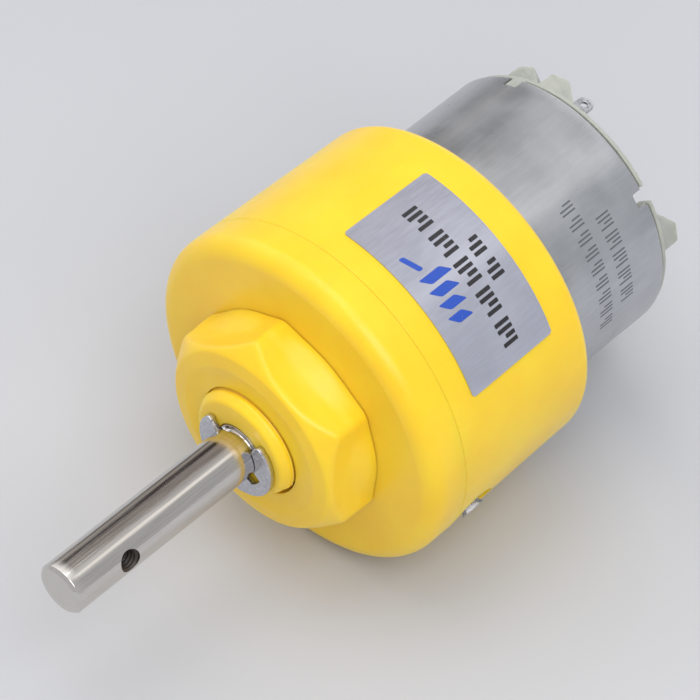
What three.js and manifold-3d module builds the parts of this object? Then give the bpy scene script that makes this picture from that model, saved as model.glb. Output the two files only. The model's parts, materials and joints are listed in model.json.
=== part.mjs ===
// Geared dc motor: a round plastic spur gearbox with a threaded neck and panel nut,
// a 6 mm output shaft held by an E-clip, and a small brushed can motor behind it.
// Units are millimetres, +Z is up. The shaft axis is the Y axis and the output shaft points to -Y.
// A "station" is a distance forward of the mounting face along the shaft, so y = -station.
// An "angle" turns about the shaft from +X towards +Z.

import * as THREE from "three";
import { mergeVertices } from "three/addons/utils/BufferGeometryUtils.js";
import Module from "manifold-3d";

const wasm = await Module();
wasm.setup();

// ---- Driving dimensions -------------------------------------------------------------------

// Output shaft
const SHAFT_R = 3;
const SHAFT_TIP = 34.3;
const SHAFT_REAR = -8.3;
const SHAFT_CHAMFER = 0.4;
const CROSS_HOLE_R = 1.3;
const CROSS_HOLE_STATION = 26.9;
const CROSS_HOLE_ANGLE = 12.8;
const RUNNING_GAP = 0.08;
const SEAT_GAP = 0.03;

// E-clip and the groove that holds it
const CLIP_R = 5.65;
const CLIP_REAR = 8.15;
const CLIP_THICKNESS = 0.7;
const CLIP_OPENING_ANGLE = 94;
const GROOVE_R = 2.5;
const GROOVE_PLAY = 0.05;

// Gearbox: front cap, its neck, and the barrel
const CAP_R = 20.5;
const CAP_EDGE_R = 2.2;
const CAP_PLATE = 2.2;
const NECK_R = 6.7;
const NECK_END = 8.1;
const NECK_END_R = 6.15;
const NECK_FLAT = 5.8;
const NECK_FLAT_ANGLE = -47;
const THREAD_PITCH = 2;
const THREAD_DEPTH = 0.4;
const NUT_RECESS_R = 13.6;
const NUT_RECESS = 0.1;
const SEAM = -5;
const SEAM_GAP = 0.1;
const BARREL_FRONT_R = 20.45;
const BARREL_REAR_R = 20;
const BARREL_REAR = -25.4;
const BARREL_EDGE_R = 1.2;
const BARREL_BORE_R = 18.35;
const SPIGOT_GAP = 0.15;
const SPIGOT_REAR = -6.5;
const SPIGOT_WALL = 1.1;
const WEB_FRONT = -20.5;
const WEB_REAR = -22.35;

// Panel nut
const NUT_FLATS = 23;
const NUT_REAR = 0.1;
const NUT_FRONT = 6.7;
const NUT_BORE_R = 6.95;
const NUT_CORNER_R = 13.25;
const NUT_FLANGE_R = 12.45;
const NUT_FLANGE = 0.9;
const NUT_SHOULDER = 4.2;
const NUT_CORNER_ANGLE = 34;

// Screws that hold the cap in the barrel, and the motor on the web
const CAP_SCREW_STATION = -8.2;
const CAP_SCREW_ANGLES = [-25, 205];
const CAP_SCREW_HEAD_R = 2.7;
const CAP_SCREW_SEAT = 19;
const CAP_SCREW_TOP = 20.4;
const CAP_SCREW_R = 1.15;
const CAP_SCREW_POINT = 16;
const CAP_SCREW_PILOT = [14, 19];
const TAB_WIDTH = 6;
const TAB_INNER_R = 15.5;
const TAB_REAR = -11;
const MOTOR_SCREW_ANGLES = [-45, 135];
const MOTOR_SCREW_CIRCLE_R = 12.5;
const MOTOR_SCREW_R = 1.25;
const MOTOR_SCREW_HEAD_R = 2.3;
const MOTOR_SCREW_HEAD = 1.5;
const MOTOR_SCREW_POINT = -24.5;

// Rating label on the barrel
const LABEL_FRONT = -8.1;
const LABEL_REAR = -20.6;
const LABEL_ANGLES = [26.5, 90.5];
const LABEL_THICKNESS = 0.12;
const LABEL_GAP = 0.03;

// Gear train, from the output gear back to the motor pinion
const MODULE = 0.4;
const CENTRE_PLAY = 0.04;
const TOOTH_THINNING = 0.07;
const PINION_TEETH = 12;
const FIRST_TEETH = 36;
const SECOND_TEETH = 38;
const OUTPUT_TEETH = 38;
const FIRST_ANGLE = 45;
const OUTPUT_GEAR = [-8.1, -3.1];
const OUTPUT_HUB = [-3.1, -2.9];
const OUTPUT_HUB_R = 4.8;
const SECOND_SMALL = [-8.9, -2.9];
const SECOND_BIG = [-12.3, -8.8];
const FIRST_SMALL = [-13.1, -8.6];
const FIRST_BIG = [-16, -13];
const MOTOR_PINION = [-16.8, -12.9];
const GEAR_PIN_R = 1;
const GEAR_PIN = [-21.6, -1.1];
const GEAR_BORE_R = 1.07;
const PIN_SEAT_R = 1.02;
const PIN_BOSS_R = 1.9;
const THRUST_WASHER = [-2.8, -2.3];
const SPACER_R = 1.4;

// Motor
const CAN_R = 16.2;
const CAN_WALL = 0.8;
const CAN_FRONT = -22.4;
const CAN_RIM = -41.7;
const CAN_EDGE_R = 1;
const MOTOR_BOSS_R = 3.1;
const MOTOR_BOSS_FRONT = -20.7;
const NOTCH_ANGLES = [37.7, 111.3, 217.7, 291.3];
const NOTCH_WIDTH = 2;
const NOTCH_FRONT = -40.3;
const BEARING_R = 2.15;
const BEARING_SEAT_R = 2.2;
const BEARING_BORE_R = 1.06;
const ROTOR_SHAFT_R = 1;
const ROTOR_SHAFT = [-43.2, -13];
const ROTOR_WASHERS = [[-24.1, -23.7], [-39.5, -39.2]];
const ROTOR_WASHER_R = 1.9;
const CORE_R = 10.7;
const CORE = [-33.4, -25.8];
const POLES = 3;
const ARM_HALF_WIDTH = 1.3;
const COIL_OVERHANG = 1.4;
const MAGNET_INNER_R = 11.4;
const MAGNET_OUTER_R = 15.2;
const MAGNET = [-36.5, -25.2];
const MAGNET_SPAN = 130;
const MAGNET_ANGLES = [350, 170];
const MAGNET_SPRING_SPAN = 44;
const MAGNET_SPRING_THICKNESS = 0.5;
const COMMUTATOR_R = 2.35;
const COMMUTATOR = [-39.1, -35.4];
const DRUM_R = 1.9;
const DRUM_HEAD_R = 3.2;
const DRUM_HEAD = 0.6;
const SEGMENT_SPAN = 112;
const BRUSH_R = 2.6;
const BRUSH_THICKNESS = 0.3;
const BRUSH = [-38.6, -36.8];

// Nylon end cap and its terminals
const END_CAP_FRONT = -39.6;
const END_CAP_FLANGE = -41.8;
const END_CAP_REAR = -42.6;
const END_CAP_FLANGE_R = 15.9;
const END_CAP_FLOOR = -41.4;
const END_BOSS_R = 4.2;
const END_BOSS_REAR = -43.5;
const LUG_TIP = -45.1;
const LUG_R = [13.7, 15.8];
const LUG_BASE_WIDTH = 5.2;
const LUG_TIP_WIDTH = 2.5;
const TERMINAL_ANGLES = [83, 263];
const TERMINAL_WIDTH = 1.9;
const TERMINAL_R = [14.5, 14.9];
const TERMINAL = [-45, -36.8];
const TERMINAL_TIP_CUT = 0.45;
const TERMINAL_EYE_R = 0.5;

// Each lug's straight side, and the way in which its sloping side faces: 1 is towards larger angles
const LUGS = [
  { angle: 8.2, slopes: 1 },
  { angle: 104, slopes: -1 },
  { angle: 123.5, slopes: -1 },
  { angle: 188.2, slopes: 1 },
  { angle: 284, slopes: -1 },
  { angle: 303.5, slopes: -1 },
];

// How far one piece of a solid runs into the next where they are joined
const OVERLAP = 0.5;

// Facets around each size of round piece
const ROUND_LARGE = 48;
const ROUND_MEDIUM = 32;
const ROUND_SMALL = 16;

// ---- Geometry helpers ---------------------------------------------------------------------

const radians = THREE.MathUtils.degToRad;

// The point at a radius and angle, in the outline plane that prism() extrudes.
function polar(radius, angle) {
  return new THREE.Vector2(
    radius * Math.cos(radians(angle)),
    radius * Math.sin(radians(angle)),
  );
}

// Profile points of a quarter-round edge, as [radius, station] pairs.
function roundEdge(centreR, centreStation, edgeR, fromAngle, toAngle, steps = 4) {
  const pairs = [];
  for (let i = 0; i <= steps; i += 1) {
    const angle = radians(fromAngle + ((toAngle - fromAngle) * i) / steps);
    pairs.push([centreR + edgeR * Math.cos(angle), centreStation + edgeR * Math.sin(angle)]);
  }
  return pairs;
}

// A solid turned about the shaft axis from [radius, station] pairs that close on themselves.
function turned(pairs, facets = ROUND_MEDIUM) {
  const points = pairs.map(([radius, station]) => new THREE.Vector2(radius, -station));
  if (THREE.ShapeUtils.area(points) < 0) {
    points.reverse();
  }
  points.push(points[0].clone());
  return new THREE.LatheGeometry(points, facets);
}

// A plain tube or, with no bore, a disc between two stations.
function tube(bore, radius, [rear, front], facets = ROUND_MEDIUM) {
  const inner = [[bore, front], [bore, rear]];
  return turned([...inner, [radius, rear], [radius, front]], facets);
}

// A flat outline in the x-z plane, carried from the rear station to the front one.
function prism(shape, [rear, front], curveSegments = 12) {
  const depth = front - rear;
  return new THREE.ExtrudeGeometry(shape, { depth, bevelEnabled: false, curveSegments })
    .rotateX(Math.PI / 2)
    .translate(0, -rear, 0);
}

// Turns a piece that was made at angle 0 round to another angle.
function turnTo(geometry, angle) {
  return geometry.rotateY(-radians(angle));
}

// A block at a given angle: radial span, tangential width, station span.
function block([innerR, outerR], width, [rear, front], angle) {
  const box = new THREE.BoxGeometry(outerR - innerR, front - rear, width);
  box.translate((innerR + outerR) / 2, -(rear + front) / 2, 0);
  return turnTo(box, angle);
}

// A turned piece whose own axis lies along a radius: pairs are [radius, distance from the shaft axis].
function radialTurned(pairs, station, angle, facets = ROUND_SMALL) {
  const outward = pairs.map(([radius, distance]) => [radius, -distance]);
  const laid = turned(outward, facets).rotateZ(-Math.PI / 2);
  return turnTo(laid, angle).translate(0, -station, 0);
}

// Moves a piece from the shaft axis to a parallel axis.
function moveTo(geometry, centre) {
  return geometry.translate(centre.x, 0, centre.y);
}

function toSolid(geometry) {
  const bare = geometry.index ? geometry.toNonIndexed() : geometry.clone();
  bare.deleteAttribute("normal");
  bare.deleteAttribute("uv");
  const merged = mergeVertices(bare, 1e-4);
  const mesh = new wasm.Mesh({
    numProp: 3,
    vertProperties: merged.attributes.position.array,
    triVerts: new Uint32Array(merged.index.array),
  });
  return new wasm.Manifold(mesh);
}

function toGeometry(solid) {
  const { vertProperties, triVerts } = solid.getMesh();
  const geometry = new THREE.BufferGeometry();
  geometry.setAttribute("position", new THREE.BufferAttribute(vertProperties, 3));
  geometry.setIndex(new THREE.BufferAttribute(triVerts, 1));
  return geometry;
}

function joined(...pieces) {
  return toGeometry(pieces.map(toSolid).reduce((whole, piece) => whole.add(piece)));
}

function cut(geometry, ...tools) {
  return toGeometry(tools.map(toSolid).reduce((left, tool) => left.subtract(tool), toSolid(geometry)));
}

function common(first, second) {
  return toGeometry(toSolid(first).intersect(toSolid(second)));
}

// ---- Gears --------------------------------------------------------------------------------

const PRESSURE_ANGLE = radians(20);
const involute = (angle) => Math.tan(angle) - angle;

// Half the angle that a tooth covers at a radius.
function halfTooth(teeth, radius) {
  const pitchR = (MODULE * teeth) / 2;
  const baseR = pitchR * Math.cos(PRESSURE_ANGLE);
  const atPitch = Math.PI / (2 * teeth) - TOOTH_THINNING / (2 * pitchR);
  const pressure = Math.acos(Math.min(1, baseR / radius));
  return atPitch + involute(PRESSURE_ANGLE) - involute(pressure);
}

// A spur gear whose first tooth is centred at a phase, in radians.
function spurGear(teeth, span, phase, boreR) {
  const pitchR = (MODULE * teeth) / 2;
  const radii = [pitchR - 1.2 * MODULE, pitchR, pitchR + 0.95 * MODULE];
  const shape = new THREE.Shape();
  const points = [];
  for (let tooth = 0; tooth < teeth; tooth += 1) {
    const centre = phase + (2 * Math.PI * tooth) / teeth;
    for (const radius of radii) {
      const angle = centre - halfTooth(teeth, radius);
      points.push(new THREE.Vector2(radius * Math.cos(angle), radius * Math.sin(angle)));
    }
    for (const radius of [...radii].reverse()) {
      const angle = centre + halfTooth(teeth, radius);
      points.push(new THREE.Vector2(radius * Math.cos(angle), radius * Math.sin(angle)));
    }
  }
  shape.setFromPoints(points);
  shape.holes.push(new THREE.Path().absarc(0, 0, boreR, 0, 2 * Math.PI, true));
  return prism(shape, span);
}

const centreDistance = (teethA, teethB) => (MODULE * (teethA + teethB)) / 2 + CENTRE_PLAY;

// The phase that puts a gear in mesh with a driver, seen in a direction from the driver to it.
function meshPhase(driverPhase, driverTeeth, teeth, direction) {
  const carried = ((direction - driverPhase) * driverTeeth) / teeth;
  return direction + Math.PI - Math.PI / teeth + carried;
}

// Both compound gears stand on fixed pins, and the pins, the shaft axis and their three centre
// distances make one triangle.
function gearLayout() {
  const toFirst = centreDistance(PINION_TEETH, FIRST_TEETH);
  const toSecond = centreDistance(PINION_TEETH, OUTPUT_TEETH);
  const between = centreDistance(PINION_TEETH, SECOND_TEETH);
  const cosine = (toFirst ** 2 + toSecond ** 2 - between ** 2) / (2 * toFirst * toSecond);
  const secondAngle = FIRST_ANGLE + THREE.MathUtils.radToDeg(Math.acos(cosine));
  const first = polar(toFirst, FIRST_ANGLE);
  const second = polar(toSecond, secondAngle);
  const secondToFirst = Math.atan2(first.y - second.y, first.x - second.x);
  const outputPhase = 0;
  const secondPhase = meshPhase(outputPhase, OUTPUT_TEETH, PINION_TEETH, radians(secondAngle));
  const firstPhase = meshPhase(secondPhase, SECOND_TEETH, PINION_TEETH, secondToFirst);
  const firstToShaft = radians(FIRST_ANGLE) + Math.PI;
  const pinionPhase = meshPhase(firstPhase, FIRST_TEETH, PINION_TEETH, firstToShaft);
  return { first, second, outputPhase, secondPhase, firstPhase, pinionPhase };
}

const train = gearLayout();

function outputGear() {
  const boreR = SHAFT_R + SEAT_GAP;
  const hub = tube(boreR, OUTPUT_HUB_R, [OUTPUT_HUB[0] - OVERLAP, OUTPUT_HUB[1]]);
  return joined(spurGear(OUTPUT_TEETH, OUTPUT_GEAR, train.outputPhase, boreR), hub);
}

function compoundGear(bigTeeth, bigSpan, smallSpan, phase, centre) {
  const big = spurGear(bigTeeth, bigSpan, phase, GEAR_BORE_R);
  const small = spurGear(PINION_TEETH, smallSpan, phase, GEAR_BORE_R);
  return moveTo(joined(big, small), centre);
}

// ---- Gearbox housing ----------------------------------------------------------------------

// The neck's outline from its end down to the cap: rounded end, plain rings for its thread, and
// the shallow recess that the panel nut stands over.
function neckProfile() {
  const pairs = [[NECK_END_R, NECK_END], [NECK_R - 0.15, NECK_END - 0.3], [NECK_R, NECK_END - 0.8]];
  for (let crest = NECK_END - 1.5; crest > 1.2; crest -= THREAD_PITCH) {
    pairs.push([NECK_R, crest]);
    pairs.push([NECK_R - THREAD_DEPTH, crest - THREAD_PITCH * 0.45]);
    pairs.push([NECK_R, crest - THREAD_PITCH * 0.9]);
  }
  pairs.push([NECK_R, -NUT_RECESS], [NUT_RECESS_R, -NUT_RECESS], [NUT_RECESS_R, 0]);
  return pairs;
}

function capTab(angle) {
  const slab = block([TAB_INNER_R, BARREL_BORE_R + 1], TAB_WIDTH, [TAB_REAR, SEAM + 1], angle);
  const inside = tube(0, BARREL_BORE_R - SPIGOT_GAP, [TAB_REAR - 1, SEAM + 2], ROUND_LARGE);
  return common(slab, inside);
}

function frontCap() {
  const boreR = SHAFT_R + RUNNING_GAP;
  const spigotR = BARREL_BORE_R - SPIGOT_GAP;
  const skirtR = spigotR - SPIGOT_WALL;
  const seam = SEAM + SEAM_GAP / 2;
  const body = turned([
    [boreR, -CAP_PLATE],
    [boreR, NECK_END],
    ...neckProfile(),
    ...roundEdge(CAP_R - CAP_EDGE_R, -CAP_EDGE_R, CAP_EDGE_R, 90, 0),
    [BARREL_FRONT_R, seam],
    [spigotR, seam],
    [spigotR, SPIGOT_REAR],
    [skirtR, SPIGOT_REAR],
    [skirtR, -CAP_PLATE],
  ], ROUND_LARGE);
  const flat = block([NECK_FLAT, NECK_R + 1], 2 * NECK_R, [0.05, NECK_END + 1], NECK_FLAT_ANGLE);
  const [pilotEnd, pilotMouth] = CAP_SCREW_PILOT;
  const pilotR = CAP_SCREW_R + 0.05;
  const pilot = [[0, pilotEnd], [pilotR, pilotEnd], [pilotR, pilotMouth], [0, pilotMouth]];
  const pilots = CAP_SCREW_ANGLES.map((angle) => radialTurned(pilot, CAP_SCREW_STATION, angle));
  const sockets = [train.first, train.second].map((centre) =>
    moveTo(tube(0, PIN_SEAT_R, [-CAP_PLATE - 1, GEAR_PIN[1] + 0.1], ROUND_SMALL), centre));
  return cut(joined(body, ...CAP_SCREW_ANGLES.map(capTab)), flat, ...pilots, ...sockets);
}

function gearboxBarrel() {
  const body = turned([
    [BARREL_FRONT_R, SEAM - SEAM_GAP / 2],
    ...roundEdge(BARREL_REAR_R - BARREL_EDGE_R, BARREL_REAR + BARREL_EDGE_R, BARREL_EDGE_R, 0, -90),
    [CAN_R + 0.2, BARREL_REAR],
    [CAN_R + 0.2, WEB_REAR],
    [MOTOR_BOSS_R + 0.2, WEB_REAR],
    [MOTOR_BOSS_R + 0.2, WEB_FRONT],
    [BARREL_BORE_R, WEB_FRONT],
    [BARREL_BORE_R, SEAM - SEAM_GAP / 2],
  ], ROUND_LARGE);
  const bosses = [
    moveTo(tube(0, PIN_BOSS_R, [WEB_FRONT - OVERLAP, FIRST_BIG[0] - 0.3], ROUND_SMALL), train.first),
    moveTo(tube(0, PIN_BOSS_R, [WEB_FRONT - OVERLAP, SECOND_BIG[0] - 0.3], ROUND_SMALL), train.second),
  ];
  const pinHoles = [train.first, train.second].map((centre) =>
    moveTo(tube(0, PIN_SEAT_R, [GEAR_PIN[0] - 0.1, 0], ROUND_SMALL), centre));
  const screwHoles = MOTOR_SCREW_ANGLES.map((angle) => {
    const hole = tube(0, MOTOR_SCREW_R + 0.15, [WEB_REAR - 1, WEB_FRONT + 1], ROUND_SMALL);
    return moveTo(hole, polar(MOTOR_SCREW_CIRCLE_R, angle));
  });
  const screwSeat = [
    [0, CAP_SCREW_SEAT - 3],
    [CAP_SCREW_R + 0.2, CAP_SCREW_SEAT - 3],
    [CAP_SCREW_R + 0.2, CAP_SCREW_SEAT],
    [CAP_SCREW_HEAD_R + 0.2, CAP_SCREW_SEAT],
    [CAP_SCREW_HEAD_R + 0.2, CAP_SCREW_TOP + 1],
    [0, CAP_SCREW_TOP + 1],
  ];
  const seats = CAP_SCREW_ANGLES.map((angle) => radialTurned(screwSeat, CAP_SCREW_STATION, angle));
  return cut(joined(body, ...bosses), ...pinHoles, ...screwHoles, ...seats);
}

// Two crossed slots, sunk into a screw head from its top.
function crossRecess(reach, depth, top) {
  const arms = [0, 1].map((turn) => {
    const arm = new THREE.BoxGeometry(turn ? 0.7 : reach, depth * 2, turn ? reach : 0.7);
    return arm.translate(0, top, 0);
  });
  return joined(...arms);
}

function capScrew(angle) {
  const pairs = [
    [0, CAP_SCREW_POINT],
    [CAP_SCREW_R * 0.5, CAP_SCREW_POINT],
    [CAP_SCREW_R, CAP_SCREW_POINT + 0.8],
    [CAP_SCREW_R, CAP_SCREW_SEAT + SEAT_GAP],
    [CAP_SCREW_HEAD_R, CAP_SCREW_SEAT + SEAT_GAP],
    [CAP_SCREW_HEAD_R, CAP_SCREW_TOP - 0.7],
    [CAP_SCREW_HEAD_R * 0.8, CAP_SCREW_TOP - 0.2],
    [CAP_SCREW_HEAD_R * 0.4, CAP_SCREW_TOP],
    [0, CAP_SCREW_TOP],
  ];
  const upright = turned(pairs.map(([radius, distance]) => [radius, -distance]), ROUND_SMALL);
  const headed = cut(upright, crossRecess(3.2, 0.8, CAP_SCREW_TOP));
  return turnTo(headed.rotateZ(-Math.PI / 2), angle).translate(0, -CAP_SCREW_STATION, 0);
}

function motorScrew(angle) {
  const seat = WEB_FRONT + SEAT_GAP;
  const top = seat + MOTOR_SCREW_HEAD;
  const body = turned([
    [0, MOTOR_SCREW_POINT],
    [MOTOR_SCREW_R, MOTOR_SCREW_POINT],
    [MOTOR_SCREW_R, seat],
    [MOTOR_SCREW_HEAD_R, seat],
    [MOTOR_SCREW_HEAD_R, top - 0.5],
    [MOTOR_SCREW_HEAD_R * 0.7, top],
    [0, top],
  ], ROUND_SMALL);
  const headed = cut(body, crossRecess(2.6, 0.8, -top));
  return moveTo(headed, polar(MOTOR_SCREW_CIRCLE_R, angle));
}

function barrelRadiusAt(station) {
  const along = (SEAM - station) / (SEAM - BARREL_REAR);
  return BARREL_FRONT_R + (BARREL_REAR_R - BARREL_FRONT_R) * along;
}

function ratingLabel() {
  const frontR = barrelRadiusAt(LABEL_FRONT) + LABEL_GAP;
  const rearR = barrelRadiusAt(LABEL_REAR) + LABEL_GAP;
  const sleeve = turned([
    [frontR, LABEL_FRONT],
    [frontR + LABEL_THICKNESS, LABEL_FRONT],
    [rearR + LABEL_THICKNESS, LABEL_REAR],
    [rearR, LABEL_REAR],
  ], ROUND_LARGE);
  const sector = new THREE.Shape([
    new THREE.Vector2(0, 0),
    polar(CAP_R * 1.5, LABEL_ANGLES[0]),
    polar(CAP_R * 1.5, LABEL_ANGLES[1]),
  ]);
  return common(sleeve, prism(sector, [LABEL_REAR - 1, LABEL_FRONT + 1]));
}

function panelNut() {
  const sides = new THREE.Shape(
    Array.from({ length: 6 }, (_, i) =>
      polar(NUT_FLATS / 2 / Math.cos(Math.PI / 6), NUT_CORNER_ANGLE + 60 * i)),
  );
  const hexagon = prism(sides, [NUT_REAR, NUT_FRONT]);
  const flange = turned([
    [0, NUT_REAR],
    [NUT_FLANGE_R, NUT_REAR],
    [NUT_FLANGE_R, NUT_REAR + NUT_FLANGE],
    [NUT_FLATS / 2 - 0.1, NUT_REAR + 2.5 * NUT_FLANGE],
    [0, NUT_REAR + 2.5 * NUT_FLANGE],
  ], ROUND_MEDIUM);
  const envelope = turned([
    [NUT_BORE_R, NUT_REAR],
    [NUT_CORNER_R - 0.4, NUT_REAR],
    [NUT_CORNER_R, NUT_REAR + 0.4],
    [NUT_CORNER_R, NUT_SHOULDER],
    [11.4, 6.2],
    [10.8, 6.55],
    [9.9, NUT_FRONT],
    [NUT_BORE_R, NUT_FRONT],
  ], ROUND_LARGE);
  return common(joined(hexagon, flange), envelope);
}

// ---- Output shaft group -------------------------------------------------------------------

function outputShaft() {
  const body = turned([
    [0, SHAFT_REAR],
    [SHAFT_R, SHAFT_REAR],
    [SHAFT_R, CLIP_REAR - GROOVE_PLAY],
    [GROOVE_R, CLIP_REAR - GROOVE_PLAY],
    [GROOVE_R, CLIP_REAR + CLIP_THICKNESS + GROOVE_PLAY],
    [SHAFT_R, CLIP_REAR + CLIP_THICKNESS + GROOVE_PLAY],
    [SHAFT_R, SHAFT_TIP - SHAFT_CHAMFER],
    [SHAFT_R - SHAFT_CHAMFER, SHAFT_TIP],
    [0, SHAFT_TIP],
  ]);
  const bar = [[0, -SHAFT_R - 1], [CROSS_HOLE_R, -SHAFT_R - 1], [CROSS_HOLE_R, SHAFT_R + 1], [0, SHAFT_R + 1]];
  return cut(body, radialTurned(bar, CROSS_HOLE_STATION, CROSS_HOLE_ANGLE));
}

// An E-clip: a flat ring, open on one side, that grips the groove with three inner prongs.
function shaftClip() {
  const gripR = GROOVE_R + GROOVE_PLAY;
  const reliefR = 4.1;
  const half = [
    [CLIP_R, 180], [CLIP_R, 164], [CLIP_R, 148], [CLIP_R, 132], [CLIP_R, 116], [CLIP_R, 100],
    [CLIP_R, 84], [CLIP_R, 68], [CLIP_R - 0.15, 58], [4.9, 50], [4.1, 50], [3.1, 56],
    [gripR, 63], [gripR, 83], [gripR, 103], [3.2, 110], [3.9, 118],
    [reliefR, 128], [reliefR, 140], [3.9, 152], [3.2, 160], [gripR, 166],
  ];
  const left = half.map(([radius, angle]) => polar(radius, CLIP_OPENING_ANGLE + angle));
  const right = half.map(([radius, angle]) => polar(radius, CLIP_OPENING_ANGLE - angle));
  const outline = [...left, ...right.slice(1).reverse()];
  return prism(new THREE.Shape(outline), [CLIP_REAR, CLIP_REAR + CLIP_THICKNESS]);
}

// ---- Motor --------------------------------------------------------------------------------

function motorCan() {
  const innerR = CAN_R - CAN_WALL;
  const body = turned([
    [BEARING_SEAT_R, MOTOR_BOSS_FRONT],
    [MOTOR_BOSS_R, MOTOR_BOSS_FRONT],
    [MOTOR_BOSS_R, CAN_FRONT],
    ...roundEdge(CAN_R - CAN_EDGE_R, CAN_FRONT - CAN_EDGE_R, CAN_EDGE_R, 90, 0, 3),
    [CAN_R, CAN_RIM],
    [innerR, CAN_RIM],
    [innerR, CAN_FRONT - CAN_WALL],
    [BEARING_SEAT_R, CAN_FRONT - CAN_WALL],
  ], ROUND_LARGE);
  const notches = NOTCH_ANGLES.map((angle) =>
    block([innerR - 1, CAN_R + 1], NOTCH_WIDTH, [CAN_RIM - 1, NOTCH_FRONT], angle));
  const holes = MOTOR_SCREW_ANGLES.map((angle) => {
    const hole = tube(0, MOTOR_SCREW_R + 0.05, [CAN_FRONT - 2, CAN_FRONT + 1], ROUND_SMALL);
    return moveTo(hole, polar(MOTOR_SCREW_CIRCLE_R, angle));
  });
  return cut(body, ...notches, ...holes);
}

// A stub on the end cap's rim with one straight side and one sloping side.
function rimLug({ angle, slopes }) {
  const height = END_CAP_REAR - LUG_TIP;
  const side = new THREE.Shape([
    new THREE.Vector2(0, -OVERLAP / 2),
    new THREE.Vector2(-slopes * LUG_BASE_WIDTH, -OVERLAP / 2),
    new THREE.Vector2(-slopes * LUG_TIP_WIDTH, height),
    new THREE.Vector2(0, height),
  ]);
  const slab = new THREE.ExtrudeGeometry(side, { depth: CAN_R, bevelEnabled: false });
  slab.rotateY(Math.PI / 2).translate(2, -END_CAP_REAR, 0);
  return common(turnTo(slab, angle), tube(...LUG_R, [LUG_TIP - 1, END_CAP_REAR + OVERLAP], ROUND_LARGE));
}

function motorEndCap() {
  const plugR = CAN_R - CAN_WALL - 0.08;
  const body = turned([
    [ROTOR_SHAFT_R + 0.2, END_BOSS_REAR],
    [END_BOSS_R - 0.4, END_BOSS_REAR],
    [END_BOSS_R, END_BOSS_REAR + 0.4],
    [END_BOSS_R, END_CAP_FLOOR],
    [13.6, END_CAP_FLOOR],
    [13.8, END_CAP_REAR],
    [END_CAP_FLANGE_R - 0.2, END_CAP_REAR],
    [END_CAP_FLANGE_R, END_CAP_REAR + 0.2],
    [END_CAP_FLANGE_R, END_CAP_FLANGE],
    [plugR, END_CAP_FLANGE],
    [plugR, END_CAP_FRONT],
    [BEARING_SEAT_R, END_CAP_FRONT],
    [BEARING_SEAT_R, END_BOSS_REAR + 0.8],
    [ROTOR_SHAFT_R + 0.2, END_BOSS_REAR + 0.8],
  ], ROUND_LARGE);
  const keys = NOTCH_ANGLES.slice(1).map((angle) =>
    block([plugR - 1, CAN_R - 0.15], NOTCH_WIDTH - 0.2, [END_CAP_FLANGE - 0.2, NOTCH_FRONT - 0.1], angle));
  const openNotch = block([LUG_R[0] - 0.3, CAN_R + 1], NOTCH_WIDTH,
    [END_CAP_REAR - 1, NOTCH_FRONT + 0.1], NOTCH_ANGLES[0]);
  const slots = TERMINAL_ANGLES.map((angle) =>
    block([TERMINAL_R[0] - 0.05, TERMINAL_R[1] + 0.05], TERMINAL_WIDTH + 0.1,
      [LUG_TIP, END_CAP_FRONT + 1], angle));
  return cut(joined(body, ...keys, ...LUGS.map(rimLug)), openNotch, ...slots);
}

// A flat tag with a chamfered tip and an eye.
function terminal(angle) {
  const [rear, front] = TERMINAL.map((station) => -station);
  const half = TERMINAL_WIDTH / 2;
  const outline = new THREE.Shape([
    new THREE.Vector2(-half, front),
    new THREE.Vector2(half, front),
    new THREE.Vector2(half, rear - TERMINAL_TIP_CUT),
    new THREE.Vector2(half - TERMINAL_TIP_CUT, rear),
    new THREE.Vector2(TERMINAL_TIP_CUT - half, rear),
    new THREE.Vector2(-half, rear - TERMINAL_TIP_CUT),
  ]);
  const eye = new THREE.Path().absarc(0, rear - 2 * TERMINAL_EYE_R, TERMINAL_EYE_R, 0, 2 * Math.PI, true);
  outline.holes.push(eye);
  const [innerR, outerR] = TERMINAL_R;
  const plate = new THREE.ExtrudeGeometry(outline, { depth: outerR - innerR, bevelEnabled: false });
  return turnTo(plate.rotateY(Math.PI / 2).translate(innerR, 0, 0), angle);
}

// A spring leaf from a terminal's foot, lying along a tangent of the commutator.
function brush(angle) {
  const rootR = TERMINAL_R[0] - 0.15;
  const reach = Math.sqrt(rootR ** 2 - BRUSH_R ** 2);
  const slant = THREE.MathUtils.radToDeg(Math.acos(BRUSH_R / rootR));
  const leaf = block([BRUSH_R, BRUSH_R + BRUSH_THICKNESS], reach + 1, BRUSH, 0);
  leaf.translate(0, 0, -(reach - 1) / 2);
  return turnTo(leaf, angle + slant);
}

function magnet(angle) {
  const arc = new THREE.Shape();
  const half = radians(MAGNET_SPAN / 2);
  arc.absarc(0, 0, MAGNET_OUTER_R, -half, half, false);
  arc.absarc(0, 0, MAGNET_INNER_R, half, -half, true);
  return turnTo(prism(arc, MAGNET, 8), angle);
}

function magnetSpring() {
  const arc = new THREE.Shape();
  const half = radians(MAGNET_SPRING_SPAN / 2);
  arc.absarc(0, 0, MAGNET_OUTER_R, -half, half, false);
  arc.absarc(0, 0, MAGNET_OUTER_R - MAGNET_SPRING_THICKNESS, half, -half, true);
  return turnTo(prism(arc, [MAGNET[0] + 2, MAGNET[1] - 2], 4), MAGNET_ANGLES[0] - 90);
}

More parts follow.
